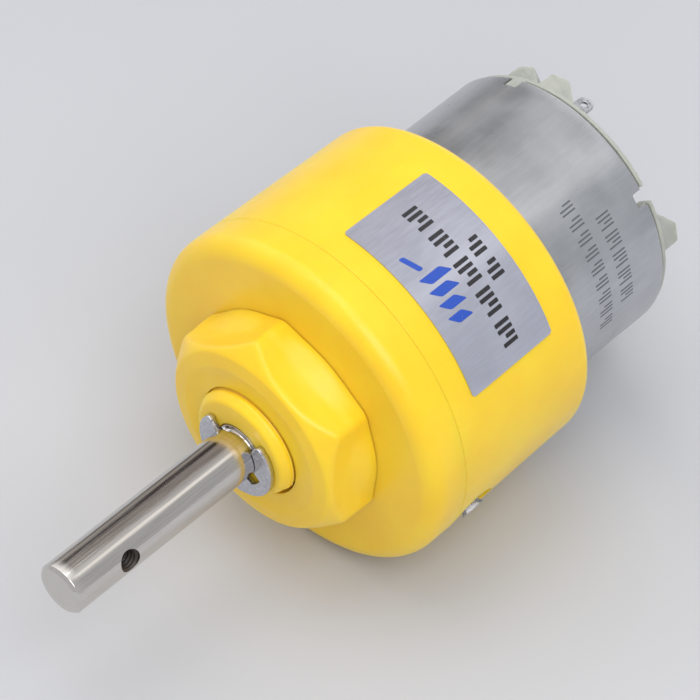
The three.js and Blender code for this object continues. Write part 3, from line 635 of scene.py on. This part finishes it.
# ---- Output shaft and clip ----------------------------------------------------------------------

def output_shaft():
    """The shaft, with the clip's groove, a bevelled end and a hole drilled across it."""
    groove_rear = CLIP_REAR - GROOVE_PLAY
    groove_front = CLIP_FRONT + GROOVE_PLAY
    outline = rounded(
        (0, SHAFT_REAR), (SHAFT_R, SHAFT_REAR, 0.3),
        (SHAFT_R, groove_rear, 0.04), (GROOVE_R, groove_rear, 0.1),
        (GROOVE_R, groove_front, 0.1), (SHAFT_R, groove_front, 0.06),
        (SHAFT_R, SHAFT_TIP - SHAFT_BEVEL, 0.12), (SHAFT_R - SHAFT_BEVEL, SHAFT_TIP, 0.12), (0, SHAFT_TIP),
        step=15,
    )
    shaft = turned("shaft", split(outline, 1.2), ROUND)
    through = SHAFT_R + 0.6
    drill = stand(rod("drill", HOLE_R, -through, through), HOLE_STATION, HOLE_ANGLE)
    return smooth(combine(shaft, "DIFFERENCE", [drill]))


def shaded_hole_thread():
    """A thread that lines the cross hole, near black with painted shade for the hole's dark inside."""
    depth = SHAFT_R - 0.3
    turns = round(2 * depth / HOLE_PITCH)
    outer = HOLE_R - 0.02
    root = outer - 0.06
    crest = outer - 0.22
    wall = []
    for k in range(turns):
        base = -depth + 2 * depth * k / turns
        wall += [(root, base), (crest, base + 0.2), (crest, base + 0.28)]
    wall += [(root, depth), (outer, depth), (outer, -depth)]
    return smooth(stand(turned("shaded_hole_thread", wall, SMALL), HOLE_STATION, HOLE_ANGLE))


def shaft_clip():
    """A flat ring open on one side: round ends, and three teeth in the groove with pockets between."""
    tooth = GROOVE_R + 0.05
    shoulder = 2.95
    pocket = 4.05

    def arc(radius, start, end, steps, centre=(0, 0)):
        turns = [math.radians(start + (end - start) * k / steps) for k in range(steps + 1)]
        return [(centre[0] + radius * math.cos(t), centre[1] + radius * math.sin(t)) for t in turns]

    half = arc(CLIP_R - 0.4, 180, 62, 30, centre=(-0.4, 0))
    half += arc(0.55, 52, -72, 12, centre=(2.42, 3.62))
    half += [(1.75, 2.72), (1.42, 2.52)]
    half += arc(tooth, 60, 104, 8)
    half += arc(shoulder, 110, 113, 2)
    half += arc(pocket, 120, 148, 10)
    half += arc(shoulder, 159, 162, 2)
    half += arc(tooth, 167, 180, 3)
    outline = half[:-1] + [(x, -z) for x, z in reversed(half)][:-1]
    clip = prism("clip", outline, CLIP_REAR, CLIP_FRONT)
    return smooth(soften(swing(clip, CLIP_OPENING), 0.09))


# ---- Gearbox ------------------------------------------------------------------------------------

def thread_at(station, angle, ends):
    """Depth of a helical thread, 0 at its crest, that runs out towards both of its end stations."""
    rear, front = ends
    phase = (station / THREAD_PITCH - angle / 360) % 1
    groove = ramp_between(abs(2 * phase - 1), 0.1, 0.9)
    run_in = ramp_between(station, rear, rear + THREAD_RUN_OUT)
    run_out = ramp_between(-station, -front, THREAD_RUN_OUT - front)
    return THREAD_DEPTH * groove * run_in * run_out


def neck_radius(radius, station, angle):
    """The neck's radius: its thread, and one flat cut along it."""
    if station < 0.3 or radius < SHAFT_R + 0.5:
        return radius
    aside = math.radians(angle - NECK_FLAT_ANGLE)
    reach = radius
    if radius > NECK_R - 0.05:
        reach -= thread_at(station, angle, NECK_THREAD)
    if math.cos(aside) > 0.5:
        reach = min(reach, NECK_FLAT / math.cos(aside))
    return reach


def on_pin(piece, node):
    """Moves a piece from the shaft axis to the axis of a gear pin."""
    low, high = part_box(node)
    piece.data.transform(Matrix.Translation(((low.x + high.x) / 2, 0, (low.z + high.z) / 2)))
    return piece


def front_cap():
    """The cap: threaded neck, plate, spigot, the tabs that its screws enter and the pins' sockets."""
    bore = SHAFT_R + 0.08
    skirt = SPIGOT_R - SPIGOT_WALL
    seam = SEAM + SEAM_HALF
    outline = rounded(
        (bore, -CAP_PLATE), (bore, NECK_END, 0.25), (NECK_TIP_R, NECK_END, 0.7), (NECK_R, NECK_TIP, 0.6),
        step=9,
    )
    threaded = run((NECK_R, 6.85), (NECK_R, 0.3), 0.12)
    outline += threaded[1:]
    outline += rounded(
        (NECK_R, 0, 0.25), (CAP_R, 0, CAP_EDGE), (BARREL_FRONT_R, seam, 0.12), (SPIGOT_R, seam),
        (SPIGOT_R, SPIGOT_REAR, 0.15), (skirt, SPIGOT_REAR, 0.15), (skirt, -CAP_PLATE, 0.8), step=9,
    )
    cap = turned("cap", split(outline, 1.6), FINE, neck_radius)
    tabs = []
    holes = []
    for angle in SCREW_ANGLES:
        tab = block("tab", (TAB_R, SPIGOT_R - 0.1), TAB_WIDTH, (TAB_REAR, -CAP_PLATE + 0.4), angle)
        tabs.append(soften(tab, 0.3))
        holes.append(stand(rod("pilot", SCREW_PILOT_R, 14, SCREW_SEAT), SCREW_STATION, angle))
    for node in ("gear_pin_1", "gear_pin_2"):
        holes.append(on_pin(rod("socket", PIN_HOLE_R, -3, PIN_HOLE_FRONT), node))
    combine(cap, "UNION", tabs)
    return smooth(combine(cap, "DIFFERENCE", holes))


def gearbox_barrel():
    """The barrel: its web carries the pins' bosses, and its rear end takes the motor can."""
    seam = SEAM - SEAM_HALF
    socket = CAN_R + 0.2
    outline = rounded(
        (BARREL_FRONT_R, seam, 0.12), (BARREL_REAR_R, BARREL_REAR, 1.2), (socket, BARREL_REAR, 0.3),
        (socket, WEB_REAR), (WEB_BORE_R, WEB_REAR, 0.2), (WEB_BORE_R, WEB_FRONT, 0.2),
        (BARREL_BORE_R, WEB_FRONT, 0.6), (BARREL_BORE_R, seam, 0.1), step=9,
    )
    barrel = turned("barrel", split(outline, 1.0), FINE)
    bosses = []
    holes = []
    for node, gear in (("gear_pin_1", "first_reduction_gear"), ("gear_pin_2", "second_reduction_gear")):
        face = -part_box(gear)[1].y / MM - 0.3
        root = WEB_FRONT - 0.5
        boss = rounded((0, root), (PIN_BOSS_R, root), (PIN_BOSS_R, face, 0.25), (0, face))
        bosses.append(on_pin(turned("boss", boss, SMALL), node))
        holes.append(on_pin(rod("hole", PIN_HOLE_R, PIN_HOLE_REAR, 0), node))
    combine(barrel, "UNION", bosses)
    for radius, angle in MOTOR_SCREWS:
        holes.append(shift(rod("hole", MOTOR_SCREW_HOLE_R, -24, -19), radius, angle))
    mouth = SCREW_TOP + 0.5
    for angle in SCREW_ANGLES:
        seat = rounded(
            (0, 16), (SCREW_HOLE_R, 16), (SCREW_HOLE_R, SCREW_SEAT), (SCREW_HEAD_R + 0.2, SCREW_SEAT, 0.15),
            (SCREW_HEAD_R + 0.25, 20.3), (SCREW_HEAD_R + 0.7, mouth), (0, mouth),
        )
        holes.append(stand(turned("seat", seat, SMALL), SCREW_STATION, angle))
    return smooth(combine(barrel, "DIFFERENCE", holes))


def panel_nut():
    """A hexagon nut: its rear spreads into a round skirt, and its front face dips round the bore."""
    apothem = NUT_FLATS / 2

    def hexagon(angle):
        aside = (angle - NUT_CORNER) % 60 - 30
        near = apothem / math.cos(math.radians(aside))
        far = apothem / math.cos(math.radians(60 - abs(aside)))
        return blend_min(near, far, 0.55)

    def radius_at(radius, station, angle):
        if radius < NUT_BORE_R + 0.02 and station < NUT_LIP_REAR - 0.02:
            return radius + THREAD_DEPTH * 0.5 - 0.5 * thread_at(station, angle, NUT_THREAD)
        if radius < 9.5:
            return radius
        dish = NUT_DISH * ramp_between(station, 1.6, 3.0) * ramp_between(-station, -6.2, -4.4)
        body = blend_min(hexagon(angle) - dish, radius, 0.45)
        skirt = NUT_FLANGE_R - 0.1 - NUT_FLANGE_DRAFT * ramp_between(station, 0.2, 4.4)
        return blend_max(body, min(skirt, radius - 0.15), 0.8)

    bore = run((NUT_BORE_R, 0.5), (NUT_BORE_R, 6.0), 0.14)
    outer = rounded(
        (7.4, NUT_REAR), (NUT_CORNER_R, NUT_REAR, 0.3), (NUT_CORNER_R, 4.2, 0.9), (11.3, 6.4, 1.4),
        (9.4, NUT_FRONT, 0.8), (8.0, NUT_FACE, 1.2), (NUT_LIP_R, NUT_FACE, 0.1), (NUT_LIP_R, NUT_LIP_REAR),
        step=6,
    )
    nut = turned("nut", bore + list(reversed(split(outer, 0.16))), NUT_FACETS, radius_at)
    return smooth(nut, 50)


# ---- Screws -------------------------------------------------------------------------------------

def cross_recess(top, reach, depth):
    """Two crossed slots that narrow with depth, for cutting into a screw's head."""
    bottom = reach * 0.45
    outline = [(-reach, top + 0.3), (reach, top + 0.3), (bottom, top - depth), (-bottom, top - depth)]
    arms = []
    for angle in (-20, -110):
        near, far = ([(x * MM, -station * MM, z * MM) for x, station in outline] for z in (-0.34, 0.34))
        arms.append(swing(join_loops("arm", near, far), angle))
    return arms


def cross_screw(name, point, seat, top, thread_r, head_r):
    """A pan-head screw that stands along the shaft, with its point at a low station."""
    pitch = 0.8
    core_r = thread_r * 0.78
    outline = [(0, point), (thread_r * 0.35, point)]
    for k in range(int((seat - point - 0.8) / pitch)):
        base = point + 0.6 + pitch * k
        outline += [(core_r, base), (thread_r, base + pitch * 0.42), (core_r, base + pitch * 0.84)]
    outline += [(thread_r * 0.85, seat)]
    outline += rounded((head_r, seat, 0.15), (head_r, top - 0.55, 0.45), (head_r * 0.72, top, 0.8))[:-1]
    outline += [(0, top)]
    screw = turned(name, outline, SMALL)
    return smooth(combine(screw, "DIFFERENCE", cross_recess(top, head_r * 0.62, 0.9)))


# ---- Label and printed marks --------------------------------------------------------------------

def barrel_radius(station):
    share = (SEAM - station) / (SEAM - BARREL_REAR)
    return BARREL_FRONT_R + (BARREL_REAR_R - BARREL_FRONT_R) * share


def label_radius(station):
    return barrel_radius(station) + LABEL_LIFT


def ink_radius(station):
    return label_radius(station) + LABEL_THICKNESS


def add_patch(bm, radius_of, angles, stations, corner, thickness, columns, rows, slant=0.0):
    """A thin sheet with round corners, wrapped round a turned surface. Slant leans it along the shaft."""
    front, rear = stations
    width = math.radians(angles[1] - angles[0]) * radius_of(front)
    shares = [0.5 - 0.5 * math.cos(math.pi * k / columns) for k in range(columns + 1)]
    layers = []
    for lift in (0.0, thickness):
        grid = []
        for share in shares:
            edge = min(share, 1 - share) * width
            cut = corner - math.sqrt(max(0.0, corner ** 2 - max(0.0, corner - edge) ** 2))
            angle = angles[0] + (angles[1] - angles[0]) * share
            lean = slant * (share - 0.5)
            column = []
            for k in range(rows + 1):
                low = rear + cut
                high = front - cut
                station = low + (high - low) * k / rows + lean
                column.append(bm.verts.new(spot(radius_of(station) + lift, station, angle)))
            grid.append(column)
        layers.append(grid)
        for left, right in zip(grid, grid[1:]):
            for k in range(rows):
                bm.faces.new([left[k], left[k + 1], right[k + 1], right[k]])
    rims = []
    for grid in layers:
        rim = [column[0] for column in grid] + grid[-1][1:]
        rim += [column[-1] for column in reversed(grid[:-1])] + list(reversed(grid[0][1:-1]))
        rims.append(rim)
    count = len(rims[0])
    for k in range(count):
        ahead = (k + 1) % count
        bm.faces.new([rims[0][k], rims[0][ahead], rims[1][ahead], rims[1][k]])


def rating_label():
    bm = bmesh.new()
    stations = (LABEL_FRONT, LABEL_REAR)
    add_patch(bm, label_radius, LABEL_ANGLES, stations, LABEL_CORNER, LABEL_THICKNESS, columns=96, rows=8)
    return smooth(keep("label", bm))


def marks(name, radius_of, bars, thickness, corner):
    """Printed bars, each (first angle, last angle, front station, rear station, slant)."""
    bm = bmesh.new()
    for first, last, front, rear, slant in bars:
        add_patch(
            bm, radius_of, (first, last), (front, rear), corner, thickness, columns=10, rows=2, slant=slant,
        )
    return smooth(keep(name, bm))


def strokes(angles, stations, width, pitch, beat):
    """A row of upright strokes, like a line of print, in groups of beat with one of them shorter."""
    front, rear = stations
    bars = []
    angle = angles[0]
    count = 0
    while angle + width < angles[1]:
        drop = 0.35 * (front - rear) * ((count * 5) % beat == 1)
        bars.append((angle, angle + width, front - drop, rear, 0.0))
        count += 1
        angle += pitch * (1.9 if count % beat == 0 else 1)
    return bars


def label_print():
    width, pitch = 1.35, 2.2
    bars = strokes((32.5, 85), (-14.2, -16.3), width, pitch, 4)
    bars += strokes((51, 66), (-17.1, -18.9), width, pitch, 3)
    return marks("label_print", ink_radius, bars, LABEL_INK, 0.1)


def label_emblem():
    """Four slanting bars and a narrow one, in place of the maker's sign."""
    width, pitch = 3.1, 4.6
    firsts = [47.5 + pitch * k for k in range(4)]
    bars = [(first, first + width, -10.3, -12.4 - 0.35 * k, 1.1) for k, first in enumerate(firsts)]
    bars.append((66.5, 73.0, -10.2, -10.9, 0.9))
    return marks("label_emblem", ink_radius, bars, LABEL_INK, 0.2)


def can_print():
    width, pitch = 0.7, 1.7
    bars = strokes((-2, 56), (-31.2, -33.2), width, pitch, 3)
    bars += strokes((4, 46), (-34.6, -36.6), width, pitch, 4)
    return marks("can_print", lambda station: CAN_R, bars, CAN_INK, 0.08)


# ---- Motor --------------------------------------------------------------------------------------

def motor_can():
    """The drawn can: a hub for the front bearing, two screw holes, and notches in its rear rim."""
    inner = CAN_R - CAN_WALL
    floor_rear = CAN_FRONT - CAN_WALL
    outline = rounded(
        (BEARING_SEAT_R, CAN_HUB_FRONT, 0.1), (CAN_HUB_R, CAN_HUB_FRONT, 0.2), (CAN_HUB_R, CAN_FRONT, 0.3),
        (CAN_R, CAN_FRONT, 1.0), (CAN_R, CAN_RIM, 0.22), (inner, CAN_RIM, 0.22),
        (inner, floor_rear, 0.4), (BEARING_SEAT_R, floor_rear, 0.1), step=10,
    )
    can = turned("can", split(outline, 1.2), FINE)
    tools = []
    for angle in NOTCHES:
        notch = block("notch", (14, CLEAR_OF_CAN), NOTCH_WIDTH, (CAN_RIM - 1, NOTCH_FRONT), angle)
        tools.append(soften(notch, 0.25))
    for radius, angle in MOTOR_SCREWS:
        tools.append(shift(rod("hole", CAN_SCREW_HOLE_R, -24, -21), radius, angle))
    return smooth(combine(can, "DIFFERENCE", tools))


def rim_lug(angle, slopes):
    """A stub with a straight side at the angle, and a sloping side that faces the way of slopes."""
    height = FLANGE_REAR - LUG_TIP
    side = rounded(
        (0, -0.4), (0, height, 0.45), (slopes * LUG_TIP_WIDTH, height, 0.7),
        (slopes * LUG_BASE_WIDTH, 0, 0.3), (slopes * (LUG_BASE_WIDTH + 0.3), -0.4),
    )
    loops = []
    for radius in (LUG_R[0] + 0.1, LUG_R[1] - 0.35):
        loop = []
        for aside, up in side:
            reach = math.sqrt(radius * radius - aside * aside * 0.9)
            loop.append(Vector((reach, -FLANGE_REAR + up, aside)) * MM)
        loops.append(loop)
    lug = join_loops("lug", *loops, split_ends=True)
    return swing(soften(lug, 0.3, angle=50), angle)


def motor_end_cap():
    """The end cap: boss, floor, rim flange, keys in three notches, lugs, and slots for the terminals."""
    boss_floor = BOSS_REAR + BOSS_WALL
    outline = rounded(
        (BOSS_BORE_R, BOSS_REAR, 0.15), (BOSS_R, BOSS_REAR, 0.5), (BOSS_R, END_FLOOR, 0.4),
        (END_FLOOR_R, END_FLOOR, 0.5), (END_FLOOR_R + 0.2, FLANGE_REAR, 0.25),
        (FLANGE_R, FLANGE_REAR, 0.25), (FLANGE_R, FLANGE_FRONT, 0.15), (PLUG_R, FLANGE_FRONT),
        (PLUG_R, PLUG_FRONT, 0.3), (BEARING_SEAT_R, PLUG_FRONT, 0.15),
        (BEARING_SEAT_R, boss_floor), (BOSS_BORE_R, boss_floor),
    )
    cap = turned("end_cap", split(outline, 1.2), FINE)
    open_notch, *keyed_notches = NOTCHES
    keys = []
    for angle in keyed_notches:
        stations = (FLANGE_FRONT - 0.3, NOTCH_FRONT - 0.1)
        keys.append(soften(block("key", (14.4, CAN_R - 0.15), NOTCH_WIDTH - 0.2, stations, angle), 0.2))
    combine(cap, "UNION", keys + [rim_lug(*lug) for lug in LUGS])
    gap = (FLANGE_REAR - 1, NOTCH_FRONT + 0.1)
    tools = [block("gap", (LUG_R[0] - 0.3, CLEAR_OF_CAN), NOTCH_WIDTH, gap, open_notch)]
    for angle in TERMINALS:
        radii = (TERMINAL_R[0] - 0.05, TERMINAL_R[1] + 0.05)
        tools.append(block("slot", radii, TERMINAL_WIDTH + 0.1, (LUG_TIP, PLUG_FRONT + 1), angle))
    return smooth(combine(cap, "DIFFERENCE", tools))


def terminal(name, angle):
    """A flat solder tag with a rounded end and an eye for the lead."""
    half = TERMINAL_WIDTH / 2
    rear, front = -TERMINAL_REAR, -TERMINAL_FRONT
    side = rounded((-half, front), (half, front), (half, rear, 0.8), (-half, rear, 0.8))
    loops = [[Vector((x, y, z)) * MM for z, y in side] for x in TERMINAL_R]
    plate = join_loops(name, *loops)
    eye = stand(rod("eye", TERMINAL_EYE_R, 13, 16), TERMINAL_REAR + 1.0, 0)
    combine(plate, "DIFFERENCE", [eye])
    return smooth(swing(soften(plate, 0.05, 2), angle))


# ---- Assembly -----------------------------------------------------------------------------------

show(output_shaft(), "output", "output_shaft")
# The cross hole's lining, dark with painted shade.
place(shaded_hole_thread(), "output", HOLE_SHADE_PAINT)
show(shaft_clip(), "output", "shaft_clip")
show(front_cap(), "housing", "front_cap")
show(gearbox_barrel(), "housing", "gearbox_barrel")
show(panel_nut(), "nut", "panel_nut")
for number, angle in enumerate(SCREW_ANGLES, 1):
    screw = cross_screw(
        f"cap_cross_screw_{number}", SCREW_POINT, SCREW_SEAT + 0.02, SCREW_TOP, SCREW_THREAD_R, SCREW_HEAD_R
    )
    show(stand(screw, SCREW_STATION, angle), "housing", f"cap_screw_{number}")
for number, (radius, angle) in enumerate(MOTOR_SCREWS, 1):
    screw = cross_screw(
        f"motor_cross_screw_{number}", MOTOR_SCREW_POINT, WEB_FRONT + 0.03, WEB_FRONT + 1.53,
        MOTOR_SCREW_THREAD_R, MOTOR_SCREW_HEAD_R,
    )
    show(shift(screw, radius, angle), "housing", f"motor_screw_{number}")
show(rating_label(), "housing", "rating_label")
show(motor_can(), "housing", "motor_can")
show(motor_end_cap(), "housing", "motor_end_cap")
for number, angle in enumerate(TERMINALS, 1):
    tag = place(terminal(f"solder_tag_{number}", angle), "housing", TIN_PLATE, f"terminal_{number}")
for piece, material, slot in (
    (label_print(), BLACK_INK, "label_foil"),
    (label_emblem(), BLUE_INK, "label_foil"),
    (can_print(), GREY_INK, "zinc_steel"),
):
    place(piece, "housing", material)

# Every CAD node takes the finish of its slot: the hidden ones too, so that none is left bare.
for node, thing in frame["nodes"].items():
    thing.data.materials.clear()
    thing.data.materials.append(FINISHES[SLOT_OF[node]])


# ---- Floor, light and camera --------------------------------------------------------------------

FLOOR_HALF = 1500

BLACK = (0, 0, 0)
WHITE = (1, 1, 1)
ROUND_ABOUT = (0.61, 0.62, 0.65)
GLOW = (1.55, 1.55, 1.57)
SOFT = (0.66, 0.66, 0.67)
HAZE = (0.50, 0.51, 0.53)
LAMP = (1.30, 1.28, 1.25)
BROWN = (0.26, 0.23, 0.22)
TAN = (0.38, 0.35, 0.33)
DARK = (0.04, 0.03, 0.03)
DIM = (0.17, 0.16, 0.15)
DEEP = (0.06, 0.05, 0.045)

# The sky of the band, by its angle about the shaft's axis, from +X towards +Z.
SKY = (
    (-180, DIM), (-170, DEEP), (-135, DEEP), (-110, SOFT), (-25, SOFT), (6, HAZE), (44, HAZE), (54, SOFT),
    (59, LAMP), (64, LAMP), (71, SOFT), (104, BROWN), (127, BROWN), (136, DARK), (148, DARK), (158, TAN),
    (166, TAN), (175, DIM), (180, DIM),
)
# How much of the band shows, by the y of a direction.
BAND = ((-1, BLACK), (0.32, BLACK), (0.40, WHITE), (0.57, WHITE), (0.65, BLACK), (1, BLACK))
# The light of the rest, by the cosine of a direction's angle to the glow's side.
REST = ((-1, ROUND_ABOUT), (0.4, ROUND_ABOUT), (0.95, GLOW), (1, GLOW))
GLOW_SIDE = (-0.5, 0.35, 0.8)

CAMERA_PLACE = (190.72, -192.45, 312.995)
CAMERA_FORWARD = (-0.457563, 0.483014, -0.746548)
CAMERA_LENS = 200.09


def floor():
    """A plain pale sheet that the gearbox lies on."""
    half = FLOOR_HALF * MM
    height = cad_box[0][2]
    bm = bmesh.new()
    corners = [(-half, -half), (half, -half), (half, half), (-half, half)]
    bm.faces.new([bm.verts.new((x, y, height)) for x, y in corners])
    piece = keep("floor", bm)
    finish = Finish("floor_paper", 0.8)
    cloud = finish.noise(60, detail=2)
    finish.colour(finish.mix(finish.remap(cloud, 0.3, 0.7), (0.505, 0.512, 0.535), (0.520, 0.527, 0.550)))
    piece.data.materials.append(finish.material)


def soft_light(name, where, side, watts):
    """A square light, its place and side in millimetres, that faces the part."""
    light = bpy.data.lights.new(name, "AREA")
    light.shape = "SQUARE"
    light.size = side * MM
    light.energy = watts
    lamp = bpy.data.objects.new(name, light)
    lamp.location = Vector(where) * MM
    lamp.rotation_euler = (-lamp.location).to_track_quat("-Z", "Y").to_euler()
    bpy.context.scene.collection.objects.link(lamp)


def studio_world():
    """Soft light all round that glows on one side, and a band of sky that the shaft reflects."""
    world = bpy.data.worlds.new("studio")
    world.use_nodes = True
    tree = world.node_tree
    direction = tree.nodes.new("ShaderNodeTexCoord").outputs["Generated"]
    axes = tree.nodes.new("ShaderNodeSeparateXYZ")
    tree.links.new(direction, axes.inputs["Vector"])
    around = tree.nodes.new("ShaderNodeMath")
    around.operation = "ARCTAN2"
    tree.links.new(axes.outputs["Z"], around.inputs[0])
    tree.links.new(axes.outputs["X"], around.inputs[1])
    toward = tree.nodes.new("ShaderNodeVectorMath")
    toward.operation = "DOT_PRODUCT"
    tree.links.new(direction, toward.inputs[0])
    toward.inputs[1].default_value = Vector(GLOW_SIDE).normalized()

    def graded(source, stops, unit=1):
        """Colours along a source, from stops that run from end to end, each (value in units, colour)."""
        low, high = stops[0][0], stops[-1][0]
        share = tree.nodes.new("ShaderNodeMapRange")
        share.inputs["From Min"].default_value = low * unit
        share.inputs["From Max"].default_value = high * unit
        tree.links.new(source, share.inputs["Value"])
        ramp = tree.nodes.new("ShaderNodeValToRGB")
        ramp.color_ramp.interpolation = "EASE"
        elements = ramp.color_ramp.elements
        for value, colour in stops[1:-1]:
            elements.new((value - low) / (high - low)).color = (*colour, 1)
        elements[0].color = (*stops[0][1], 1)
        elements[-1].color = (*stops[-1][1], 1)
        tree.links.new(share.outputs["Result"], ramp.inputs["Fac"])
        return ramp.outputs["Color"]

    mix = tree.nodes.new("ShaderNodeMix")
    mix.data_type = "RGBA"
    tree.links.new(graded(axes.outputs["Y"], BAND), mix.inputs["Factor"])
    tree.links.new(graded(toward.outputs["Value"], REST), mix.inputs[6])
    tree.links.new(graded(around.outputs["Value"], SKY, math.radians(1)), mix.inputs[7])
    tree.links.new(mix.outputs[2], tree.nodes["Background"].inputs["Color"])
    bpy.context.scene.world = world


def camera():
    lens = bpy.data.cameras.new("camera")
    lens.sensor_width = 36
    lens.lens = CAMERA_LENS
    lens.clip_start = 0.01
    eye = bpy.data.objects.new("camera", lens)
    eye.location = Vector(CAMERA_PLACE) * MM
    eye.rotation_euler = Vector(CAMERA_FORWARD).to_track_quat("-Z", "Y").to_euler()
    bpy.context.scene.collection.objects.link(eye)
    bpy.context.scene.camera = eye


floor()
studio_world()
soft_light("key", (240, -110, 330), 270, 0.82)
soft_light("overhead", (-30, -20, 500), 260, 0.35)
camera()
bpy.context.scene.view_settings.view_transform = "Standard"
